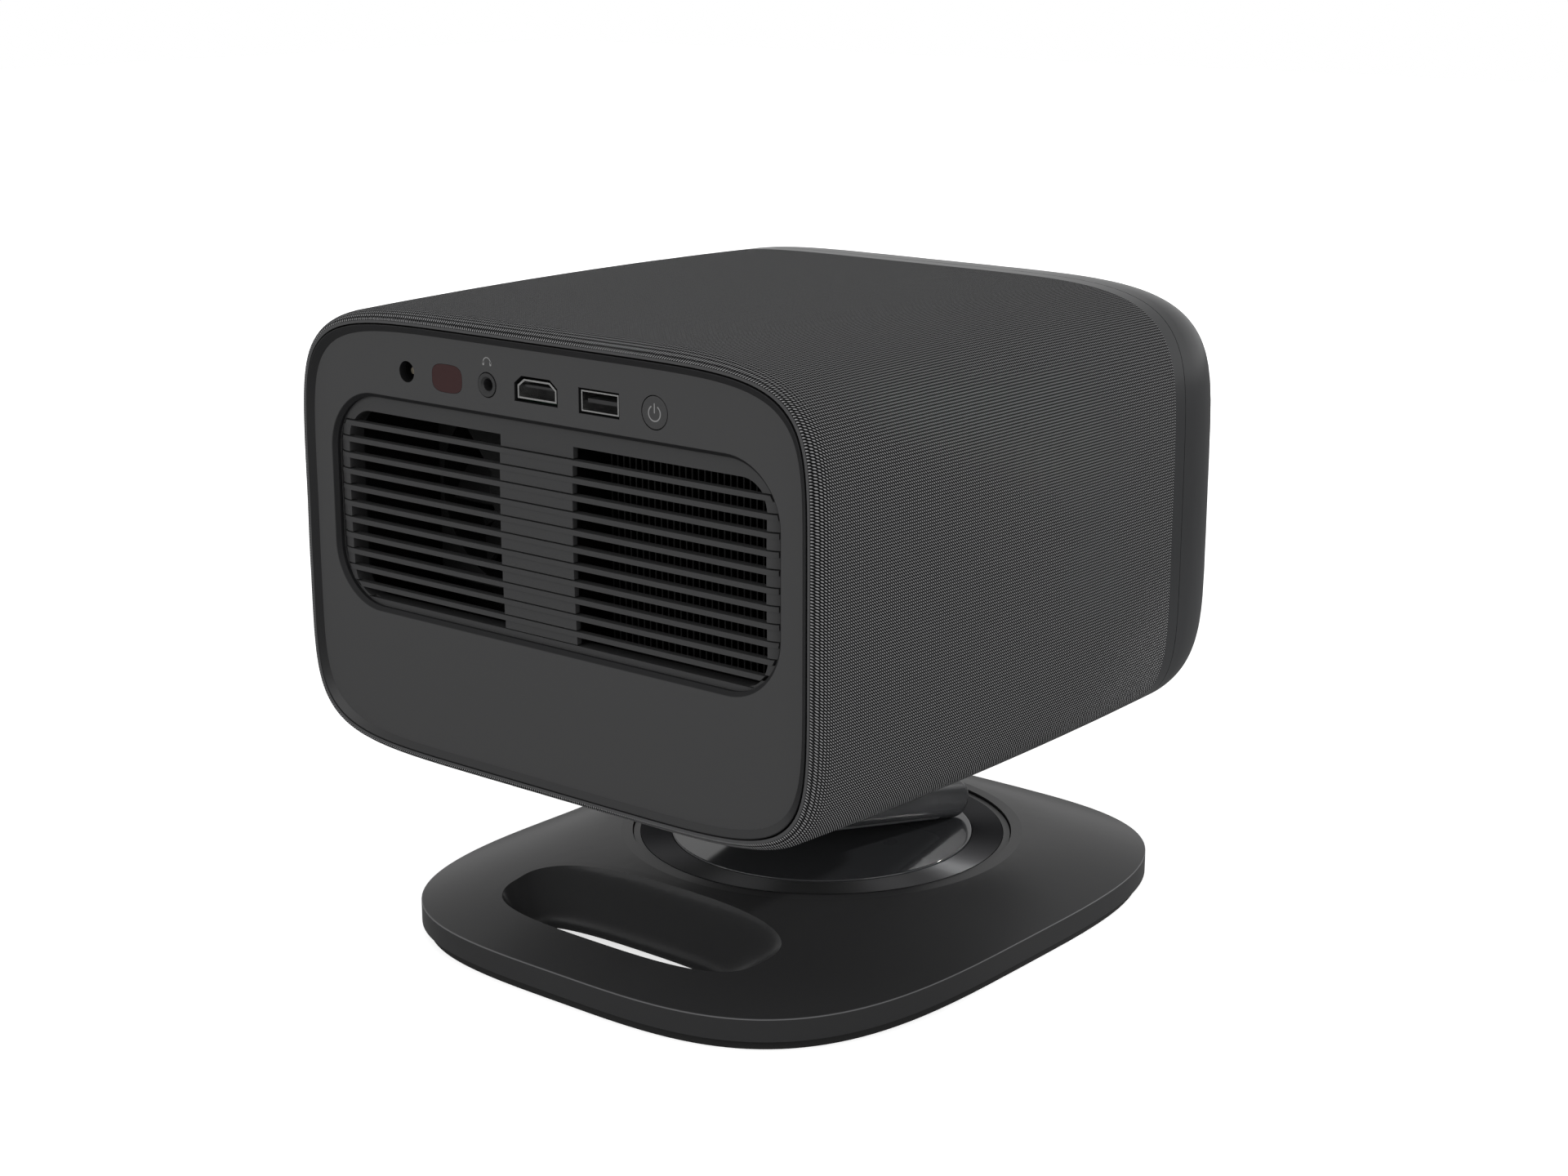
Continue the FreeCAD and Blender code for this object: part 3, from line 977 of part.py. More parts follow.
def arm_bosses():
    return [(x, y) for x in (-BOSS_X, BOSS_X) for y in (BOSS_END, ARM_LEN - BOSS_END)]


def arm_body():
    floor = -ARM_R + ARM_PLATE_T
    cavity = box(-CAVITY_HALF_W, CAVITY_HALF_W, CAVITY_END, ARM_LEN - CAVITY_END, floor - 1, ARM_R - ARM_WALL)
    cavity = cavity.cut([rod_z(BOSS_R, x, y, floor - 2, ARM_R) for x, y in arm_bosses()])
    pins = [rod_x(PIN_R, -PIN_HALF_L, PIN_HALF_L, y, 0) for y in (0, ARM_LEN)]
    pilots = [rod_z(ARM_SCREW_R, x, y, floor - 1, floor + ARM_SCREW_LEN) for x, y in arm_bosses()]
    return in_arm(arm_blank().cut(arm_forks() + [arm_lower_zone(), cavity] + pins + pilots))


def arm_plate():
    plate = arm_blank().common(arm_lower_zone())
    heads = [rod_z(ARM_SCREW_HEAD_R, x, y, -ARM_R - 1, -ARM_R + ARM_SCREW_HEAD_H) for x, y in arm_bosses()]
    holes = [rod_z(ARM_SCREW_R, x, y, -ARM_R - 1, 0) for x, y in arm_bosses()]
    return in_arm(plate.cut(heads + holes))


def arm_screws():
    screws = [screw(ARM_SCREW_HEAD_R, ARM_SCREW_HEAD_H, ARM_SCREW_R, ARM_SCREW_LEN,
                    Vec(x, y, -ARM_R + ARM_SCREW_HEAD_H), Vec(0, 0, 1)) for x, y in arm_bosses()]
    return in_arm(Part.makeCompound(screws))


def hinge_pin(along):
    return in_arm(rod_x(PIN_R, -PIN_HALF_L, PIN_HALF_L, along, 0))


# ---- turntable -------------------------------------------------------------------------------------------
def ring_z(outer, inner, z0, z1):
    return rod_z(outer, 0, SWIVEL_Y, z0, z1).cut(rod_z(inner, 0, SWIVEL_Y, z0 - 1, z1 + 1))


def swivel_places():
    return [(RETAINER_SCREW_RING * math.cos(math.radians(a)),
             SWIVEL_Y + RETAINER_SCREW_RING * math.sin(math.radians(a))) for a in SCREW_ANGLES]


def retainer_top():
    return FLOOR_TOP - FLOOR_T - FIT


def turntable_disc():
    disc = rod_z(DISC_R, 0, SWIVEL_Y, DISC_BOTTOM, LIP_TOP)
    disc = disc.cut(rod_z(LIP_R, 0, SWIVEL_Y, DISC_TOP, LIP_TOP + 1))
    hub = rod_z(HUB_R, 0, SWIVEL_Y, retainer_top(), DISC_BOTTOM + 1)
    pocket = box(-BLOCK_FOOT_X, BLOCK_FOOT_X, LOW_Y - BLOCK_FOOT_Y, LOW_Y + BLOCK_FOOT_Y,
                 DISC_TOP - BLOCK_FOOT_T, DISC_TOP + 1)
    cable = rod_z(CABLE_R, 0, SWIVEL_Y, 0, LIP_TOP + 1)
    pilots = [rod_z(BASE_SCREW_R, x, y, 0, retainer_top() + RETAINER_SCREW_LEN) for x, y in swivel_places()]
    return disc.fuse(hub).cut([pocket, cable] + pilots)


def turntable_ring():
    return ring_z(SPUN_R, CAP_R + RING_FIT, DISC_TOP, SPUN_TOP)


def turntable_cap():
    cap = rod_z(CAP_R, 0, SWIVEL_Y, DISC_TOP, CAP_TOP)
    rim = [e for e in cap.Edges if len(e.Vertexes) == 1 and abs(e.Vertexes[0].Z - CAP_TOP) < 0.01]
    half_x, half_y = KNUCKLE_HALF_W + CAP_FIT, KNUCKLE_R + CAP_FIT
    opening = box(-half_x, half_x, LOW_Y - half_y, LOW_Y + half_y, DISC_TOP - 1, CAP_TOP + 1)
    return cap.makeFillet(CAP_EDGE, rim).cut(opening)


def swivel_retainer():
    top = retainer_top()
    plate = ring_z(RETAINER_R, CABLE_R, top - RETAINER_T, top)
    heads = [rod_z(BASE_SCREW_HEAD_R, x, y, top - RETAINER_T - 1, top - RETAINER_T + BASE_SCREW_HEAD_H)
             for x, y in swivel_places()]
    return plate.cut(heads + [rod_z(BASE_SCREW_R, x, y, 0, top + 1) for x, y in swivel_places()])


def retainer_screws():
    seat = retainer_top() - RETAINER_T + BASE_SCREW_HEAD_H
    return Part.makeCompound([screw(BASE_SCREW_HEAD_R, BASE_SCREW_HEAD_H, BASE_SCREW_R, RETAINER_SCREW_LEN,
                                    Vec(x, y, seat), Vec(0, 0, 1)) for x, y in swivel_places()])


# ---- base ------------------------------------------------------------------------------------------------
def base_wire(inset, z):
    return flat_wire(BASE_HALF_W - inset, BASE_HALF_D - inset, BASE_POWER, z, y=BASE_Y)


def dome_wire(share, inset, lower):
    """Section of the dome: from the base's outline (share 0) to the round land (share 1)."""
    points = []
    z = EDGE_Z + (LAND_Z - EDGE_Z) * (1 - (1 - share) ** CROWN) - lower
    for x, y in rounded_square(BASE_HALF_W - inset, BASE_HALF_D - inset, BASE_POWER, count=32):
        angle = math.atan2(y, x)
        cx, cy = LAND_R * math.cos(angle), SWIVEL_Y + LAND_R * math.sin(angle)
        points.append(Vec(x + (cx - x) * share, BASE_Y + y + (cy - BASE_Y - y) * share, z))
    return closed_curve(points)


def dome(inset, lower):
    return loft([dome_wire(share, inset, lower) for share in DOME_SHARES])


def scoop(grow):
    """The hand slot: its wall sweeps inwards from an upright rim to an upright hole through the base."""
    wires = []
    for t in SLOT_LEVELS:
        share = t * t * (3 - 2 * t)
        z = LAND_Z + (BOWL_Z - LAND_Z) * t
        wires.append(flat_wire(SLOT_HALF_L + (HOLE_HALF_L - SLOT_HALF_L) * share + grow,
                               SLOT_HALF_W + (HOLE_HALF_W - SLOT_HALF_W) * share + grow,
                               SLOT_POWER, z, y=SLOT_Y + (HOLE_Y - SLOT_Y) * share))
    above = prism_z(wires[0], 3.0)
    hole = flat_wire(HOLE_HALF_L + grow, HOLE_HALF_W + grow, SLOT_POWER, BOWL_Z - HOLE_LEN, y=HOLE_Y)
    below = prism_z(hole, HOLE_LEN)
    return [loft(wires), above, below]


def base_screw_places():
    half_w, half_d = BASE_HALF_W - BASE_SCREW_INSET, BASE_HALF_D - BASE_SCREW_INSET
    diagonal = 2 ** (-1 / BASE_POWER)
    return ([(x * half_w * diagonal, BASE_Y + y * half_d * diagonal) for x in (-1, 1) for y in (-1, 1)]
            + [(-half_w, BASE_Y), (half_w, BASE_Y)])


def base_shell():
    outer = prism_z(base_wire(0, SKIRT_Z), EDGE_Z - SKIRT_Z).fuse(dome(0, 0))
    inner_top = EDGE_Z - BASE_WALL
    inner = prism_z(base_wire(BASE_WALL, RIM_TOP), inner_top - RIM_TOP).fuse(dome(BASE_WALL, BASE_WALL))
    shell = outer.cut([inner, prism_z(base_wire(RIM_W, 0), RIM_TOP + 1)])
    well_r = DISC_R + WELL_GAP
    well = rod_z(well_r + BASE_WALL, 0, SWIVEL_Y, FLOOR_TOP - FLOOR_T, LAND_Z)
    rear_half = box(-BASE_HALF_W, BASE_HALF_W, BASE_Y, REAR_Y, SKIRT_Z, LAND_Z)
    walls = [piece.common(rear_half).common(outer) for piece in scoop(BASE_WALL)]
    bosses = [rod_z(BASE_BOSS_R, x, y, RIM_TOP - 1, BASE_BOSS_TOP) for x, y in base_screw_places()]
    shell = shell.fuse([well] + walls + bosses)
    cuts = [rod_z(well_r, 0, SWIVEL_Y, FLOOR_TOP, LAND_Z + 5), rod_z(HUB_R + RUN, 0, SWIVEL_Y, 0, LAND_Z)]
    cuts += [rod_z(BASE_SCREW_R, x, y, 0, BOTTOM_FROM + BASE_SCREW_HEAD_H + BASE_SCREW_LEN)
             for x, y in base_screw_places()]
    return shell.cut(cuts + scoop(0)).removeSplitter()


def base_foot():
    ring = prism_z(base_wire(FOOT_INSET, 0), SKIRT_Z)
    return ring.cut(prism_z(base_wire(FOOT_INSET + FOOT_W, -1), SKIRT_Z + 2))


def relief_wire(grow, z):
    """Outline of the hand slot in the bottom, grown sideways and forwards but not towards the rear edge."""
    return flat_wire(HOLE_HALF_L + grow, HOLE_HALF_W + (grow + RELIEF_EDGE) / 2, SLOT_POWER, z,
                     y=HOLE_Y - (grow - RELIEF_EDGE) / 2)


def base_bottom():
    plate = prism_z(base_wire(FOOT_INSET + FOOT_W, BOTTOM_FROM), SKIRT_Z - BOTTOM_FROM)
    lip_z = SKIRT_Z - RELIEF_LIP
    slope = loft([relief_wire(RELIEF_W, BOTTOM_FROM), relief_wire(RELIEF_EDGE, lip_z)], True)
    hole = slope.fuse(prism_z(relief_wire(RELIEF_EDGE, lip_z), HOLE_LEN))
    seat = BOTTOM_FROM + BASE_SCREW_HEAD_H
    cuts = [rod_z(BASE_SCREW_HEAD_R, x, y, 0, seat) for x, y in base_screw_places()]
    cuts += [rod_z(BASE_SCREW_R, x, y, 0, SKIRT_Z + 1) for x, y in base_screw_places()]
    return plate.cut(cuts + [hole])


def base_screws():
    seat = BOTTOM_FROM + BASE_SCREW_HEAD_H
    return Part.makeCompound([screw(BASE_SCREW_HEAD_R, BASE_SCREW_HEAD_H, BASE_SCREW_R, BASE_SCREW_LEN,
                                    Vec(x, y, seat), Vec(0, 0, 1)) for x, y in base_screw_places()])


def ballast_plate():
    plate = prism_z(base_wire(BALLAST_INSET, SKIRT_Z), BALLAST_TOP - SKIRT_Z)
    return plate.cut([rod_z(RETAINER_R + BALLAST_GAP, 0, SWIVEL_Y, 0, LAND_Z)] + scoop(BASE_WALL + FIT))


def swivel_washer():
    return ring_z(WASHER_R_OUT, WASHER_R_IN, FLOOR_TOP, DISC_BOTTOM - FIT)


# ---- write every node ------------------------------------------------------------------------------------
NODES = [base_shell, base_bottom, base_foot, ballast_plate, swivel_washer, base_screws, turntable_disc,
         turntable_ring, turntable_cap, swivel_retainer, retainer_screws, base_knuckle, arm_body, arm_plate,
         arm_screws, head_knuckle, hinge_bracket, chassis_plate, sleeve_shell, fabric_wrap, trim_ring,
         rear_bezel, rear_panel, rear_grille, front_cover, front_glass, main_board, hdmi_shell, hdmi_tongue,
         usb_shell, usb_tongue, headphone_jack, dc_jack, dc_pin, ir_window, ir_receiver, button_switch,
         power_button, fan_wall, fan_frames, heat_sink, heat_pipes, optical_engine, led_module, lens_barrel,
         lens_carriage, lens_glass, focus_motor, focus_screw, guide_rods, camera_module, speakers,
         power_board, wifi_antenna, head_screws]
for make in NODES:
    save(make.__name__, make())
save("lower_hinge_pin", hinge_pin(0))
save("upper_hinge_pin", hinge_pin(ARM_LEN))
for label, (fan_x, fan_d) in zip(("left", "right"), fan_places()):
    save("fan_rotor_" + label, fan_rotor(fan_x, fan_d))
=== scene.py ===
import math

import bpy
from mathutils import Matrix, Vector


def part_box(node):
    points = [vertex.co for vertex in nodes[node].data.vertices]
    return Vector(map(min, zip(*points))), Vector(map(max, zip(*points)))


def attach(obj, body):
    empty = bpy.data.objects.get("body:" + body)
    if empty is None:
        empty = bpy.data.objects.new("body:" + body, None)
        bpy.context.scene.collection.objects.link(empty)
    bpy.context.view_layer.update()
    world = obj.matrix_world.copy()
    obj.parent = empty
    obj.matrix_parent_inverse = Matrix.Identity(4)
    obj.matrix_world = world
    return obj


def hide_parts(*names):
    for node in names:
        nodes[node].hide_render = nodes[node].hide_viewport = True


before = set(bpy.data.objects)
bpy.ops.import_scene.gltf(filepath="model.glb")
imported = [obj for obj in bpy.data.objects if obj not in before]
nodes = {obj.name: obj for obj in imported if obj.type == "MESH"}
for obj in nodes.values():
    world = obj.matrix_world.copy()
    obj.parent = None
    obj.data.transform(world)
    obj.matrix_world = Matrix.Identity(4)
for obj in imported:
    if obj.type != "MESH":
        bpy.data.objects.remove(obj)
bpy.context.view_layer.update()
mm = 0.001

# Camera: behind the projector and to its right, 0.8 m off and a little above it, so that the socket panel and the
# long cloth side both show.
sensor_width, focal_length = 36, 59.6
look_down, heading = 14.712, 219.335
camera_data = bpy.data.cameras.new("camera")
camera_data.sensor_width = sensor_width
camera_data.lens = focal_length
camera_data.clip_start = 0.01
camera = bpy.data.objects.new("camera", camera_data)
camera.location = (-0.503, 0.61755, 0.3134)
camera.rotation_euler = (math.radians(90 - look_down), 0, math.radians(heading))
bpy.context.scene.collection.objects.link(camera)
bpy.context.scene.camera = camera
bpy.context.scene.view_settings.view_transform = "Standard"

# Studio: a white light tent, brightest low down, so that every side is lit evenly. The camera sees the tent's wall
# as plain white. Two weak lamps shape the panel and the cloth side.
horizon_light, zenith_light = 0.72, 0.4
white_light = (1, 1, 1, 1)
studio = bpy.data.worlds.new("studio")
bpy.context.scene.world = studio
studio.use_nodes = True
room = studio.node_tree.nodes
background = room["Background"]
background.inputs["Color"].default_value = white_light
direction = room.new("ShaderNodeTexCoord")
heights = room.new("ShaderNodeSeparateXYZ")
tent = room.new("ShaderNodeMapRange")
tent.inputs["To Min"].default_value = horizon_light
tent.inputs["To Max"].default_value = zenith_light
backdrop = room.new("ShaderNodeBackground")
backdrop.inputs["Color"].default_value = white_light
seen = room.new("ShaderNodeLightPath")
choose = room.new("ShaderNodeMixShader")
joined = studio.node_tree.links
joined.new(direction.outputs["Generated"], heights.inputs[0])
joined.new(heights.outputs["Z"], tent.inputs["Value"])
joined.new(tent.outputs["Result"], background.inputs["Strength"])
joined.new(seen.outputs["Is Camera Ray"], choose.inputs["Fac"])
joined.new(background.outputs[0], choose.inputs[1])
joined.new(backdrop.outputs[0], choose.inputs[2])
joined.new(choose.outputs[0], room["World Output"].inputs["Surface"])


def softbox(name, place, aim, width, height, power):
    """Rectangular lamp at a place, turned to a point."""
    data = bpy.data.lights.new(name, "AREA")
    data.shape = "RECTANGLE"
    data.size = width
    data.size_y = height
    data.energy = power
    lamp = bpy.data.objects.new(name, data)
    lamp.location = place
    lamp.rotation_euler = (Vector(aim) - Vector(place)).to_track_quat("-Z", "Y").to_euler()
    bpy.context.scene.collection.objects.link(lamp)


middle = (0, 0, 0.12)
softbox("panel_lamp", (0.5, 1.6, 0.7), middle, width=1.2, height=1.0, power=5)
softbox("side_lamp", (-1.7, 0.1, 0.7), middle, width=1.0, height=0.8, power=4)

# A narrow spot reaches in under the head. It meets the ring where the turning marks throw its light back as a
# wedge.
glint_at, glint_way, glint_reach = Vector((-0.055, -0.016, 0.019)), Vector((-0.53, -0.72, 0.43)), 1.8
glint_power, glint_cone, glint_lamp_radius = 330, math.radians(1.7), 0.05
glint_data = bpy.data.lights.new("ring_spot", "SPOT")
glint_data.energy = glint_power
glint_data.spot_size = glint_cone
glint_data.spot_blend = 1
glint_data.shadow_soft_size = glint_lamp_radius
glint = bpy.data.objects.new("ring_spot", glint_data)
glint.location = glint_at + glint_way.normalized() * glint_reach
glint.rotation_euler = (-glint_way).to_track_quat("-Z", "Y").to_euler()
bpy.context.scene.collection.objects.link(glint)

# Table: a plain white board, far larger than the projector. It glows where the camera sees it, so that it is white
# right to its edges and only the soft shadow of the base is left on it. Shiny faces see it as a grey board.
table_side = 8
near_glow, far_glow = 0.72, 1.0
glow_rises_from, glow_rises_to = 0.25, 0.9
mirrored_grey = 0.18
bpy.ops.object.select_all(action="DESELECT")
bpy.ops.mesh.primitive_plane_add(size=table_side, location=(0, 0, 0))
table = bpy.context.object
table.name = "table"
white = bpy.data.materials.new("white_table")
white.use_nodes = True
kit, wire = white.node_tree.nodes, white.node_tree.links
paint = kit["Principled BSDF"]
paint.inputs["Base Color"].default_value = (0.9, 0.9, 0.9, 1)
paint.inputs["Roughness"].default_value = 0.9
paint.inputs["Specular IOR Level"].default_value = 0.1
place = kit.new("ShaderNodeTexCoord")
away = kit.new("ShaderNodeVectorMath")
away.operation = "LENGTH"
wire.new(place.outputs["Object"], away.inputs[0])
fade = kit.new("ShaderNodeMapRange")
fade.inputs["From Min"].default_value = glow_rises_from
fade.inputs["From Max"].default_value = glow_rises_to
fade.inputs["To Min"].default_value = near_glow
fade.inputs["To Max"].default_value = far_glow
wire.new(away.outputs["Value"], fade.inputs["Value"])
seen = kit.new("ShaderNodeLightPath")
glow = kit.new("ShaderNodeMath")
glow.operation = "MULTIPLY"
wire.new(fade.outputs["Result"], glow.inputs[0])
wire.new(seen.outputs["Is Camera Ray"], glow.inputs[1])
paint.inputs["Emission Color"].default_value = white_light
wire.new(glow.outputs[0], paint.inputs["Emission Strength"])
mirrored = kit.new("ShaderNodeEmission")
mirrored.inputs["Strength"].default_value = mirrored_grey
pick = kit.new("ShaderNodeMixShader")
wire.new(seen.outputs["Is Glossy Ray"], pick.inputs["Fac"])
wire.new(paint.outputs[0], pick.inputs[1])
wire.new(mirrored.outputs[0], pick.inputs[2])
wire.new(pick.outputs[0], kit["Material Output"].inputs["Surface"])
table.data.materials.append(white)


# Moulded plastic skin: covers, panels and rubber take the fine spark-eroded texture of the steel tool that they are
# pressed in, and paint dries with a like grain. The colour and the gloss wander a little over each piece.
def socket(group, name, kind, into, value=None):
    """Add an input or output to a group of nodes."""
    made = group.interface.new_socket(name=name, in_out=into, socket_type=kind)
    if value is not None:
        made.default_value = value


cloud_scale, gloss_wander = 14, 0.04
skin = bpy.data.node_groups.new("moulded_skin", "ShaderNodeTree")
socket(skin, "Colour", "NodeSocketColor", "INPUT", (0.1, 0.1, 0.1, 1))
socket(skin, "Grain Scale", "NodeSocketFloat", "INPUT", 2500)
socket(skin, "Grain", "NodeSocketFloat", "INPUT", 0.1)
socket(skin, "Roughness", "NodeSocketFloat", "INPUT", 0.5)
socket(skin, "Colour", "NodeSocketColor", "OUTPUT")
socket(skin, "Roughness", "NodeSocketFloat", "OUTPUT")
socket(skin, "Height", "NodeSocketFloat", "OUTPUT")
kit, wire = skin.nodes, skin.links
given, result = kit.new("NodeGroupInput"), kit.new("NodeGroupOutput")
place = kit.new("ShaderNodeTexCoord")
grain = kit.new("ShaderNodeTexNoise")
grain.inputs["Detail"].default_value = 3
wire.new(place.outputs["Object"], grain.inputs["Vector"])
wire.new(given.outputs["Grain Scale"], grain.inputs["Scale"])
cloud = kit.new("ShaderNodeTexNoise")
cloud.inputs["Scale"].default_value = cloud_scale
wire.new(place.outputs["Object"], cloud.inputs["Vector"])
spread = kit.new("ShaderNodeMapRange")
spread.inputs["To Min"].default_value = -0.5
spread.inputs["To Max"].default_value = 0.5
wire.new(grain.outputs["Fac"], spread.inputs["Value"])
amount = kit.new("ShaderNodeMath")
amount.operation = "MULTIPLY"
wire.new(spread.outputs["Result"], amount.inputs[0])
wire.new(given.outputs["Grain"], amount.inputs[1])
lift = kit.new("ShaderNodeMath")
lift.operation = "ADD"
lift.inputs[1].default_value = 1
wire.new(amount.outputs[0], lift.inputs[0])
tone = kit.new("ShaderNodeVectorMath")
tone.operation = "SCALE"
wire.new(given.outputs["Colour"], tone.inputs[0])
wire.new(lift.outputs[0], tone.inputs["Scale"])
wire.new(tone.outputs[0], result.inputs["Colour"])
worn = kit.new("ShaderNodeMapRange")
worn.inputs["To Min"].default_value = -gloss_wander
worn.inputs["To Max"].default_value = gloss_wander
wire.new(cloud.outputs["Fac"], worn.inputs["Value"])
rough = kit.new("ShaderNodeMath")
wire.new(given.outputs["Roughness"], rough.inputs[0])
wire.new(worn.outputs["Result"], rough.inputs[1])
wire.new(rough.outputs[0], result.inputs["Roughness"])
wire.new(grain.outputs["Fac"], result.inputs["Height"])


skin_relief = 0.05 * mm


def moulded(name, colour, roughness, scale=2500, grain_depth=0.1, bump=0.1, specular=0.5):
    """Plastic, rubber or paint with the moulded skin."""
    material = bpy.data.materials.new(name)
    material.use_nodes = True
    tree = material.node_tree
    shader = tree.nodes["Principled BSDF"]
    shader.inputs["Specular IOR Level"].default_value = specular
    surface = tree.nodes.new("ShaderNodeGroup")
    surface.node_tree = skin
    surface.inputs["Colour"].default_value = (*colour, 1)
    surface.inputs["Roughness"].default_value = roughness
    surface.inputs["Grain Scale"].default_value = scale
    surface.inputs["Grain"].default_value = grain_depth
    relief = tree.nodes.new("ShaderNodeBump")
    relief.inputs["Strength"].default_value = bump
    relief.inputs["Distance"].default_value = skin_relief
    tree.links.new(surface.outputs["Colour"], shader.inputs["Base Color"])
    tree.links.new(surface.outputs["Roughness"], shader.inputs["Roughness"])
    tree.links.new(surface.outputs["Height"], relief.inputs["Height"])
    tree.links.new(relief.outputs["Normal"], shader.inputs["Normal"])
    return material


def dress(material, *names):
    """Give CAD nodes a finish."""
    for name in names:
        for place_on in nodes[name].material_slots:
            place_on.material = material


# Metal: pins are ground, sheets rolled and plated, and screws blackened. Their fine marks lie along one direction,
# and each mark is a little rougher or smoother than its neighbours.
mark_relief = 0.02 * mm
marks = bpy.data.node_groups.new("metal_marks", "ShaderNodeTree")
socket(marks, "Stretch", "NodeSocketVector", "INPUT")
socket(marks, "Roughness", "NodeSocketFloat", "INPUT", 0.3)
socket(marks, "Depth", "NodeSocketFloat", "INPUT", 0.1)
socket(marks, "Roughness", "NodeSocketFloat", "OUTPUT")
socket(marks, "Height", "NodeSocketFloat", "OUTPUT")
kit, wire = marks.nodes, marks.links
given, result = kit.new("NodeGroupInput"), kit.new("NodeGroupOutput")
place = kit.new("ShaderNodeTexCoord")
drawn = kit.new("ShaderNodeVectorMath")
drawn.operation = "MULTIPLY"
wire.new(place.outputs["Object"], drawn.inputs[0])
wire.new(given.outputs["Stretch"], drawn.inputs[1])
streak = kit.new("ShaderNodeTexNoise")
streak.inputs["Scale"].default_value = 1
streak.inputs["Detail"].default_value = 4
wire.new(drawn.outputs[0], streak.inputs["Vector"])
swing = kit.new("ShaderNodeMath")
swing.operation = "SUBTRACT"
swing.inputs[1].default_value = 0.5
wire.new(streak.outputs["Fac"], swing.inputs[0])
strength = kit.new("ShaderNodeMath")
strength.operation = "MULTIPLY_ADD"
wire.new(swing.outputs[0], strength.inputs[0])
wire.new(given.outputs["Depth"], strength.inputs[1])
wire.new(given.outputs["Roughness"], strength.inputs[2])
wire.new(strength.outputs[0], result.inputs["Roughness"])
wire.new(streak.outputs["Fac"], result.inputs["Height"])


def metal(name, colour, roughness, stretch=(900, 900, 900), depth=0.15, bump=0.1):
    """Bare or plated metal with fine marks; a small stretch along an axis draws the marks out along it."""
    material = bpy.data.materials.new(name)
    material.use_nodes = True
    tree = material.node_tree
    shader = tree.nodes["Principled BSDF"]
    shader.inputs["Base Color"].default_value = (*colour, 1)
    shader.inputs["Metallic"].default_value = 1
    surface = tree.nodes.new("ShaderNodeGroup")
    surface.node_tree = marks
    surface.inputs["Stretch"].default_value = stretch
    surface.inputs["Roughness"].default_value = roughness
    surface.inputs["Depth"].default_value = depth
    relief = tree.nodes.new("ShaderNodeBump")
    relief.inputs["Strength"].default_value = bump
    relief.inputs["Distance"].default_value = mark_relief
    tree.links.new(surface.outputs["Roughness"], shader.inputs["Roughness"])
    tree.links.new(surface.outputs["Height"], relief.inputs["Height"])
    tree.links.new(relief.outputs["Normal"], shader.inputs["Normal"])
    return material


def banded(material, axis, levels, colours, keep_off=None):
    """Change a moulded material's colour in steps along an axis.

    Each level is the pair of places between which the next colour comes in. The changes stay out of an upright box,
    given by its middle and its half sizes.
    """
    tree = material.node_tree
    shader = tree.nodes["Principled BSDF"]
    place_at = tree.nodes.new("ShaderNodeTexCoord")
    parts = tree.nodes.new("ShaderNodeSeparateXYZ")
    tree.links.new(place_at.outputs["Object"], parts.inputs[0])
    plain = under = shader.inputs["Base Color"].links[0].from_socket
    for level, colour in zip(levels, colours):
        above = tree.nodes.new("ShaderNodeMapRange")
        above.inputs["From Min"].default_value = level[0]
        above.inputs["From Max"].default_value = level[1]
        tree.links.new(parts.outputs[axis], above.inputs["Value"])
        blend = tree.nodes.new("ShaderNodeMix")
        blend.data_type = "RGBA"
        blend.inputs[7].default_value = (*colour, 1)
        tree.links.new(above.outputs["Result"], blend.inputs["Factor"])
        tree.links.new(under, blend.inputs[6])
        under = blend.outputs[2]
    if keep_off:
        within = tree.nodes.new("ShaderNodeVectorMath")
        within.operation = "SUBTRACT"
        within.inputs[1].default_value = keep_off[0]
        tree.links.new(place_at.outputs["Object"], within.inputs[0])
        share = tree.nodes.new("ShaderNodeVectorMath")
        share.operation = "DIVIDE"
        share.inputs[1].default_value = keep_off[1]
        tree.links.new(within.outputs[0], share.inputs[0])
        sizes = tree.nodes.new("ShaderNodeVectorMath")
        sizes.operation = "ABSOLUTE"
        tree.links.new(share.outputs[0], sizes.inputs[0])
        sides = tree.nodes.new("ShaderNodeSeparateXYZ")
        tree.links.new(sizes.outputs[0], sides.inputs[0])
        most = tree.nodes.new("ShaderNodeMath")
        most.operation = "MAXIMUM"
        tree.links.new(sides.outputs["X"], most.inputs[0])
        tree.links.new(sides.outputs["Y"], most.inputs[1])
        outside = tree.nodes.new("ShaderNodeMath")
        outside.operation = "GREATER_THAN"
        outside.inputs[1].default_value = 1
        tree.links.new(most.outputs[0], outside.inputs[0])
        chosen = tree.nodes.new("ShaderNodeMix")
        chosen.data_type = "RGBA"
        tree.links.new(outside.outputs[0], chosen.inputs["Factor"])
        tree.links.new(plain, chosen.inputs[6])
        tree.links.new(under, chosen.inputs[7])
        under = chosen.outputs[2]
    tree.links.new(under, shader.inputs["Base Color"])
    return material


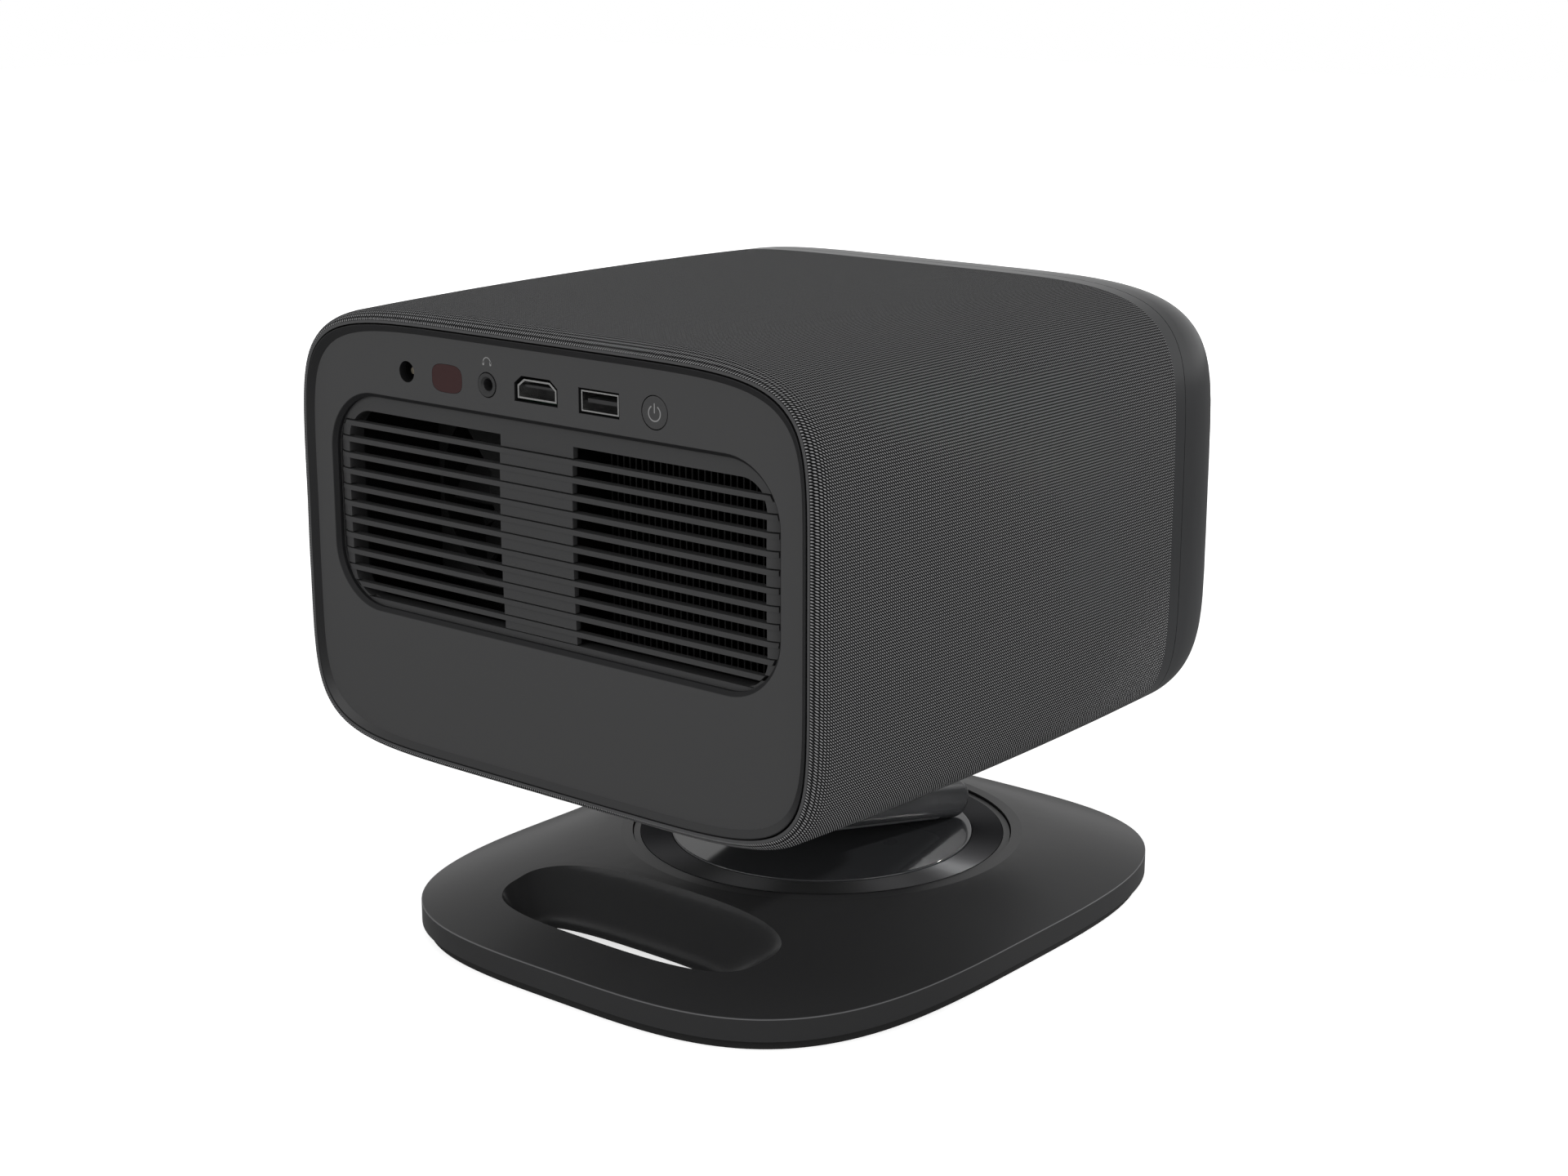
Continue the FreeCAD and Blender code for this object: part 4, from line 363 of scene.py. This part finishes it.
# Base: a moulded shell under matt black paint, with a highlight painted as a thin light grey band along its outer top
# edge, closed by a plain bottom with a steel weight inside, and stood on a rubber foot. The painted highlight stays
# off the edge of the hand slot.
edge_z = 10.1 * mm
# Painted highlight: a thin light grey band at the height of the outer top edge stands in for the light that the edge
# catches.
edge_highlight_starts, edge_highlight_full, edge_highlight_ends = edge_z - 0.35 * mm, edge_z - 0.1 * mm, edge_z + 0.1 * mm
base_black, edge_highlight_grey = (0.04, 0.04, 0.041), (0.2, 0.2, 0.205)
slot_middle, slot_half_size = (0, 76 * mm, 0), (60 * mm, 26 * mm, 1)
base_coat = moulded("base_coat", base_black, 0.3, scale=3500, bump=0.06, specular=0.2)
banded(base_coat, "Z", [(edge_highlight_starts, edge_highlight_full), (edge_z, edge_highlight_ends)], [edge_highlight_grey, base_black],
       keep_off=(slot_middle, slot_half_size))
dress(base_coat, "base_shell")
dress(moulded("under_plate", (0.02, 0.02, 0.02), 0.6, scale=1500, bump=0.3), "base_bottom")
dress(moulded("foot_rubber", (0.012, 0.012, 0.012), 0.8, scale=1200, bump=0.4), "base_foot")
dress(metal("steel_plate", (0.35, 0.35, 0.36), 0.45, (60, 1500, 60)), "ballast_plate", "swivel_retainer")
dress(moulded("washer_acetal", (0.5, 0.5, 0.48), 0.35), "swivel_washer")
dress(metal("black_screw", (0.08, 0.08, 0.085), 0.35), "base_screws", "retainer_screws", "arm_screws",
      "head_screws")

# Turntable: a dark disc that turns on the base. It carries an aluminium ring, turned on a lathe so that its marks
# throw a wedge of light, and a glossy cap pressed into the middle.
groove_scale, groove_relief = 4000, 0.03 * mm
swivel_y = (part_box("turntable_disc")[0].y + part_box("turntable_disc")[1].y) / 2


def spun(name, colour, roughness, anisotropy, groove):
    """Metal turned on a lathe: fine grooves run round the swivel's axis, so highlights stretch outwards."""
    material = bpy.data.materials.new(name)
    material.use_nodes = True
    kit, wire = material.node_tree.nodes, material.node_tree.links
    shader = kit["Principled BSDF"]
    shader.inputs["Base Color"].default_value = (*colour, 1)
    shader.inputs["Metallic"].default_value = 1
    shader.inputs["Roughness"].default_value = roughness
    shader.inputs["Anisotropic"].default_value = anisotropy
    shader.inputs["Specular Tint"].default_value = (0, 0, 0, 1)
    place = kit.new("ShaderNodeTexCoord")
    off_axis = kit.new("ShaderNodeVectorMath")
    off_axis.operation = "SUBTRACT"
    off_axis.inputs[1].default_value = (0, swivel_y, 0)
    wire.new(place.outputs["Object"], off_axis.inputs[0])
    flat = kit.new("ShaderNodeVectorMath")
    flat.operation = "MULTIPLY"
    flat.inputs[1].default_value = (1, 1, 0)
    wire.new(off_axis.outputs[0], flat.inputs[0])
    wire.new(flat.outputs[0], shader.inputs["Tangent"])
    reach = kit.new("ShaderNodeVectorMath")
    reach.operation = "LENGTH"
    wire.new(flat.outputs[0], reach.inputs[0])
    grooves = kit.new("ShaderNodeTexNoise")
    grooves.noise_dimensions = "1D"
    grooves.inputs["Scale"].default_value = groove_scale
    wire.new(reach.outputs["Value"], grooves.inputs["W"])
    relief = kit.new("ShaderNodeBump")
    relief.inputs["Strength"].default_value = groove
    relief.inputs["Distance"].default_value = groove_relief
    wire.new(grooves.outputs["Fac"], relief.inputs["Height"])
    wire.new(relief.outputs["Normal"], shader.inputs["Normal"])
    return material


dress(moulded("disc_coat", (0.02, 0.02, 0.021), 0.4), "turntable_disc")
dress(spun("spun_ring", (0.2, 0.2, 0.205), 0.5, anisotropy=0.95, groove=0.1), "turntable_ring")
dress(moulded("cap_coat", (0.045, 0.046, 0.049), 0.1, scale=3500, bump=0.02, specular=0.6), "turntable_cap")

# Arm and hinges: a coated casting with a satin strip screwed under it, which turns on ground steel pins between two
# coated blocks. A plated bracket inside the head takes the upper block's pull.
dress(moulded("arm_coat", (0.036, 0.037, 0.039), 0.26, specular=0.5), "arm_body", "base_knuckle", "head_knuckle")
dress(moulded("arm_trim", (0.15, 0.152, 0.157), 0.3, bump=0.03), "arm_plate")
dress(metal("ground_steel", (0.6, 0.6, 0.61), 0.2, (60, 2500, 2500)), "lower_hinge_pin", "upper_hinge_pin")
dress(metal("plated_sheet", (0.45, 0.45, 0.46), 0.35), "hinge_bracket", "chassis_plate", "guide_rods",
      "focus_motor", "focus_screw")

# Head covers: the rear panel is fine-textured plastic, with painted shade: its recessed edge round the grille is
# coloured darker than its face. A smoother bezel frames it, grey piping ends the cloth, and a satin cover closes the
# front.
panel_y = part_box("rear_panel")[1].y
# Painted shade: the panel is coloured darker wherever it lies deeper than just behind its face, that is in the recess
# round the grille.
recess_shade_ends, face_starts = panel_y - 0.25 * mm, panel_y - 0.05 * mm
panel_grey, recess_shade_grey = (0.062, 0.062, 0.063), (0.014, 0.014, 0.015)
panel_plastic = moulded("panel_plastic", recess_shade_grey, 0.55, specular=0.3)
banded(panel_plastic, "Y", [(recess_shade_ends, face_starts)], [panel_grey])
dress(panel_plastic, "rear_panel")
dress(moulded("grille_plastic", (0.054, 0.054, 0.055), 0.55, specular=0.3), "rear_grille")
dress(moulded("bezel_plastic", (0.014, 0.014, 0.015), 0.4, bump=0.05), "rear_bezel")
dress(moulded("piping", (0.08, 0.08, 0.082), 0.5, specular=0.3), "trim_ring")
cover_plastic = moulded("cover_plastic", (0.034, 0.035, 0.037), 0.3, bump=0.05, specular=0.5)
dress(cover_plastic, "front_cover")
dress(moulded("sleeve_plastic", (0.012, 0.012, 0.012), 0.6), "sleeve_shell")

# Cloth: one tube of woven polyester, glued round the sleeve and turned in at the rear rim. Light twisted threads pass
# over a dark ground, so that each crossing shows as a small light oval that leans. The front cover's thin skirt laps
# over the cloth's front edge.
cloth_half_w, cloth_half_h, cloth_mid_z = 103 * mm, 70.1 * mm, 132.35 * mm
cloth_power_top, cloth_power_low = 5.6, 6.3
thread_pitch = 0.88 * mm
thread_relief = 0.12 * mm
dark_thread, light_thread = (0.005, 0.005, 0.0055), (0.36, 0.36, 0.365)
oval_share, girth_share, length_share = 0.55, 0.29, 0.16
ground_until, thread_from = -0.1, 0.7
thin_fibre, thick_fibre = 0.65, 1.35
drift_scale, fibre_scale = 0.35, 1.3
seam_y = -60.2 * mm
cloth = bpy.data.objects.new("cloth_cover", nodes["fabric_wrap"].data.copy())
bpy.context.scene.collection.objects.link(cloth)
bpy.ops.object.select_all(action="DESELECT")
cloth.select_set(True)
bpy.context.view_layer.objects.active = cloth
bpy.ops.object.mode_set(mode="EDIT")
bpy.ops.mesh.select_all(action="SELECT")
bpy.ops.mesh.remove_doubles(threshold=0.001 * mm)
bpy.ops.mesh.customdata_custom_splitnormals_clear()
bpy.ops.mesh.select_all(action="SELECT")
bpy.ops.mesh.bisect(plane_co=(0, seam_y, 0), plane_no=(0, 1, 0))
bpy.ops.object.mode_set(mode="OBJECT")
bpy.ops.object.shade_smooth_by_angle(angle=math.radians(40))


def rim_point(turn):
    """Point of the cloth's outline at a turn from the -Z direction."""
    x, z = math.sin(turn), -math.cos(turn)
    power = cloth_power_top if z > 0 else cloth_power_low
    reach = (abs(x / cloth_half_w) ** power + abs(z / cloth_half_h) ** power) ** (-1 / power)
    return Vector((x * reach, 0, z * reach))


steps = 1440
girth = [0.0]
for i in range(steps):
    here, ahead = rim_point(2 * math.pi * i / steps), rim_point(2 * math.pi * (i + 1) / steps)
    girth.append(girth[-1] + (ahead - here).length)


def round_the_rim(point):
    """Length along the outline from the middle of the underside to below a point, and its turn."""
    turn = math.atan2(point.x, cloth_mid_z - point.z) % (2 * math.pi)
    at = turn / (2 * math.pi) * steps
    low = min(int(at), steps - 1)
    return girth[low] + (girth[low + 1] - girth[low]) * (at - low)


threads = cloth.data.uv_layers.new(name="threads")
cloth.data.uv_layers.active = threads
for face in cloth.data.polygons:
    across = [round_the_rim(cloth.data.vertices[v].co) for v in face.vertices]
    for corner, vertex, length in zip(face.loop_indices, face.vertices, across):
        if max(across) - length > girth[-1] / 2:
            length += girth[-1]
        threads.data[corner].uv = (length / mm, cloth.data.vertices[vertex].co.y / mm)

woven = bpy.data.materials.new("woven_cloth")
woven.use_nodes = True
kit, wire = woven.node_tree.nodes, woven.node_tree.links
shader = kit["Principled BSDF"]
lay = kit.new("ShaderNodeUVMap")
lay.uv_map = "threads"
apart = kit.new("ShaderNodeSeparateXYZ")
wire.new(lay.outputs["UV"], apart.inputs["Vector"])
drift = kit.new("ShaderNodeTexNoise")
drift.inputs["Scale"].default_value = drift_scale
drift.inputs["Detail"].default_value = 1
wire.new(lay.outputs["UV"], drift.inputs["Vector"])
angles = []
for side in ("X", "Y"):
    turns = kit.new("ShaderNodeMath")
    turns.operation = "MULTIPLY_ADD"
    turns.inputs[1].default_value = 2 * math.pi * mm / thread_pitch
    wire.new(apart.outputs[side], turns.inputs[0])
    wire.new(drift.outputs["Fac"], turns.inputs[2])
    angles.append(turns)
leaning = kit.new("ShaderNodeMath")
wire.new(angles[0].outputs[0], leaning.inputs[0])
wire.new(angles[1].outputs[0], leaning.inputs[1])
crossing = None
for angle, share in ((leaning, oval_share), (angles[0], girth_share), (angles[1], length_share)):
    wave = kit.new("ShaderNodeMath")
    wave.operation = "COSINE"
    wire.new(angle.outputs[0], wave.inputs[0])
    added = kit.new("ShaderNodeMath")
    added.operation = "MULTIPLY_ADD"
    added.inputs[1].default_value = share
    added.inputs[2].default_value = 0
    wire.new(wave.outputs[0], added.inputs[0])
    if crossing:
        wire.new(crossing.outputs[0], added.inputs[2])
    crossing = added
over = kit.new("ShaderNodeMapRange")
over.interpolation_type = "SMOOTHSTEP"
over.inputs["From Min"].default_value = ground_until
over.inputs["From Max"].default_value = thread_from
wire.new(crossing.outputs[0], over.inputs["Value"])
fibre = kit.new("ShaderNodeTexNoise")
fibre.inputs["Scale"].default_value = fibre_scale
fibre.inputs["Detail"].default_value = 4
wire.new(lay.outputs["UV"], fibre.inputs["Vector"])
uneven = kit.new("ShaderNodeMapRange")
uneven.inputs["To Min"].default_value = thin_fibre
uneven.inputs["To Max"].default_value = thick_fibre
wire.new(fibre.outputs["Fac"], uneven.inputs["Value"])
light = kit.new("ShaderNodeMath")
light.operation = "MULTIPLY"
wire.new(over.outputs["Result"], light.inputs[0])
wire.new(uneven.outputs["Result"], light.inputs[1])
blend = kit.new("ShaderNodeMix")
blend.data_type = "RGBA"
blend.inputs[6].default_value = (*dark_thread, 1)
blend.inputs[7].default_value = (*light_thread, 1)
wire.new(light.outputs[0], blend.inputs["Factor"])
wire.new(blend.outputs[2], shader.inputs["Base Color"])
relief = kit.new("ShaderNodeBump")
relief.inputs["Strength"].default_value = 0.6
relief.inputs["Distance"].default_value = thread_relief
wire.new(crossing.outputs[0], relief.inputs["Height"])
wire.new(relief.outputs["Normal"], shader.inputs["Normal"])
shader.inputs["Roughness"].default_value = 0.85
shader.inputs["Specular IOR Level"].default_value = 0.05
cloth.data.materials.clear()
cloth.data.materials.append(woven)
cloth.data.materials.append(cover_plastic)
for face in cloth.data.polygons:
    face.material_index = int(face.center.y < seam_y)
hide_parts("fabric_wrap")
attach(cloth, "head")

# Signs: a headphone sign above the round socket and a power sign on the button, pad-printed in light grey ink that
# stands on the plastic as a thin film.
button_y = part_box("power_button")[1].y
ink_depth = 0.03 * mm
ink = moulded("sign_ink", (0.28, 0.28, 0.28), 0.6, scale=4000, bump=0.02)


def settled(name):
    """The active object with its place moved into its mesh."""
    made = bpy.context.object
    made.name = name
    bpy.ops.object.mode_set(mode="OBJECT")
    bpy.ops.object.transform_apply(location=True, rotation=True, scale=True)
    return made


def arc_sign(x, y, z, radius, width, kept):
    """Flat ring in the panel's plane, cut to the faces whose turn from the top (degrees) passes a test."""
    bpy.ops.object.select_all(action="DESELECT")
    bpy.ops.mesh.primitive_circle_add(vertices=72, radius=radius, fill_type="NGON", location=(x, y, z),
                                      rotation=(math.pi / 2, 0, 0))
    bpy.ops.object.mode_set(mode="EDIT")
    bpy.ops.mesh.select_all(action="SELECT")
    bpy.ops.mesh.inset(thickness=width)
    bpy.ops.mesh.delete(type="FACE")
    ring = settled("arc")
    for face in ring.data.polygons:
        turn = math.degrees(math.atan2(face.center.x - x, face.center.z - z))
        face.select = not kept(abs(turn))
    bpy.ops.object.mode_set(mode="EDIT")
    bpy.ops.mesh.select_mode(type="FACE")
    bpy.ops.mesh.delete(type="FACE")
    bpy.ops.object.mode_set(mode="OBJECT")
    return ring


def bar_sign(x, y, z, width, height, corner):
    """Flat upright bar with rounded corners."""
    bpy.ops.object.select_all(action="DESELECT")
    bpy.ops.mesh.primitive_plane_add(size=1, location=(x, y, z), rotation=(math.pi / 2, 0, 0))
    bpy.context.object.scale = (width, height, 1)
    bar = settled("bar")
    bpy.ops.object.mode_set(mode="EDIT")
    bpy.ops.mesh.select_all(action="SELECT")
    bpy.ops.mesh.bevel(offset=corner, segments=4, affect="VERTICES")
    bpy.ops.object.mode_set(mode="OBJECT")
    return bar


def print_sign(name, parts, body):
    """Join the parts, give them the ink's thickness and fix them to a body."""
    bpy.ops.object.select_all(action="DESELECT")
    for part in parts:
        part.select_set(True)
    bpy.context.view_layer.objects.active = parts[0]
    bpy.ops.object.join()
    sign = bpy.context.object
    sign.name = name
    layer = sign.modifiers.new("ink", "SOLIDIFY")
    layer.thickness = ink_depth
    layer.offset = 0
    bpy.ops.object.modifier_apply(modifier="ink")
    sign.data.materials.append(ink)
    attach(sign, body)


power_x = (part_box("power_button")[0].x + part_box("power_button")[1].x) / 2
power_z = (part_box("power_button")[0].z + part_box("power_button")[1].z) / 2
power_line, power_ring_r, ring_drop, half_gap = 0.36 * mm, 2.3 * mm, 0.2 * mm, 32
stroke_h, stroke_rise, stroke_round = 2.76 * mm, 1.2 * mm, 0.13 * mm
print_sign("power_sign",
           [arc_sign(power_x, button_y, power_z - ring_drop, power_ring_r, power_line,
                     lambda turn: turn > half_gap),
            bar_sign(power_x, button_y, power_z + stroke_rise, power_line, stroke_h, stroke_round)],
           "power_button")
ear_x, ear_z = 19.75 * mm, 189.2 * mm
headband_r, headband_line, headband_end = 1.6 * mm, 0.28 * mm, 98
earcup_w, earcup_h, earcup_round = 0.66 * mm, 1.15 * mm, 0.2 * mm
earcup_off, earcup_drop = 1.42 * mm, 0.25 * mm
headphones = [arc_sign(ear_x, panel_y, ear_z, headband_r, headband_line, lambda turn: turn < headband_end)]
for side in (-1, 1):
    headphones.append(bar_sign(ear_x + side * earcup_off, panel_y, ear_z - earcup_drop, earcup_w, earcup_h,
                               earcup_round))
print_sign("headphone_sign", headphones, "head")

# Sockets: nickel-plated steel shells are soldered to the board round moulded tongues. The power and headphone
# sockets are black plastic, and a tinted window lets the remote control's light in.
dress(metal("nickel_plate", (0.95, 0.95, 0.94), 0.22), "hdmi_shell", "usb_shell")
dress(metal("plug_pin", (0.4, 0.36, 0.28), 0.35), "dc_pin")
dress(moulded("tongue_plastic", (0.03, 0.03, 0.031), 0.5), "hdmi_tongue", "usb_tongue")
dress(moulded("socket_black", (0.008, 0.008, 0.008), 0.5), "dc_jack", "button_switch", "ir_receiver")
dress(moulded("jack_plastic", (0.035, 0.035, 0.036), 0.45), "headphone_jack")
dress(moulded("ir_plastic", (0.05, 0.022, 0.022), 0.12, bump=0.02), "ir_window")
dress(moulded("button_plastic", (0.06, 0.06, 0.061), 0.5, specular=0.3), "power_button")

# Behind the grille: black moulded ducts, fans and speakers, pressed copper pipes that end in blackened aluminium
# fins, and the green glass-fibre boards.
dress(moulded("duct_plastic", (0.006, 0.006, 0.006), 0.7), "fan_wall", "fan_frames", "fan_rotor_left",
      "fan_rotor_right", "speakers")
dress(metal("fin_black", (0.035, 0.035, 0.035), 0.6, (60, 60, 900)), "heat_sink")
dress(metal("pipe_copper", (0.5, 0.24, 0.13), 0.3), "heat_pipes")
dress(moulded("board_green", (0.01, 0.06, 0.03), 0.4, scale=700, grain_depth=0.8), "main_board", "power_board",
      "wifi_antenna")

# Optics: the light engine is filled black plastic, and the barrel and the sliding lens cell are black anodised. The
# lenses carry a violet coating, and a smoked window covers them.
dress(moulded("engine_plastic", (0.03, 0.03, 0.03), 0.6, scale=900, bump=0.3), "optical_engine", "led_module",
      "camera_module")
dress(metal("black_anodised", (0.04, 0.04, 0.042), 0.4), "lens_barrel", "lens_carriage")
glass_index = 1.5


def clear(name, colour, roughness, coat_tint):
    """Glass with an interference coating and a trace of dust."""
    material = moulded(name, colour, roughness, scale=60, bump=0.0)
    shader = material.node_tree.nodes["Principled BSDF"]
    shader.inputs["Transmission Weight"].default_value = 1
    shader.inputs["IOR"].default_value = glass_index
    shader.inputs["Coat Weight"].default_value = 0.6
    shader.inputs["Coat Roughness"].default_value = 0.02
    shader.inputs["Coat Tint"].default_value = (*coat_tint, 1)
    return material


dress(clear("lens_coating", (0.75, 0.85, 0.95), 0.05, (0.6, 0.5, 1.0)), "lens_glass")
dress(clear("smoked_window", (0.22, 0.22, 0.24), 0.05, (1, 1, 1)), "front_glass")
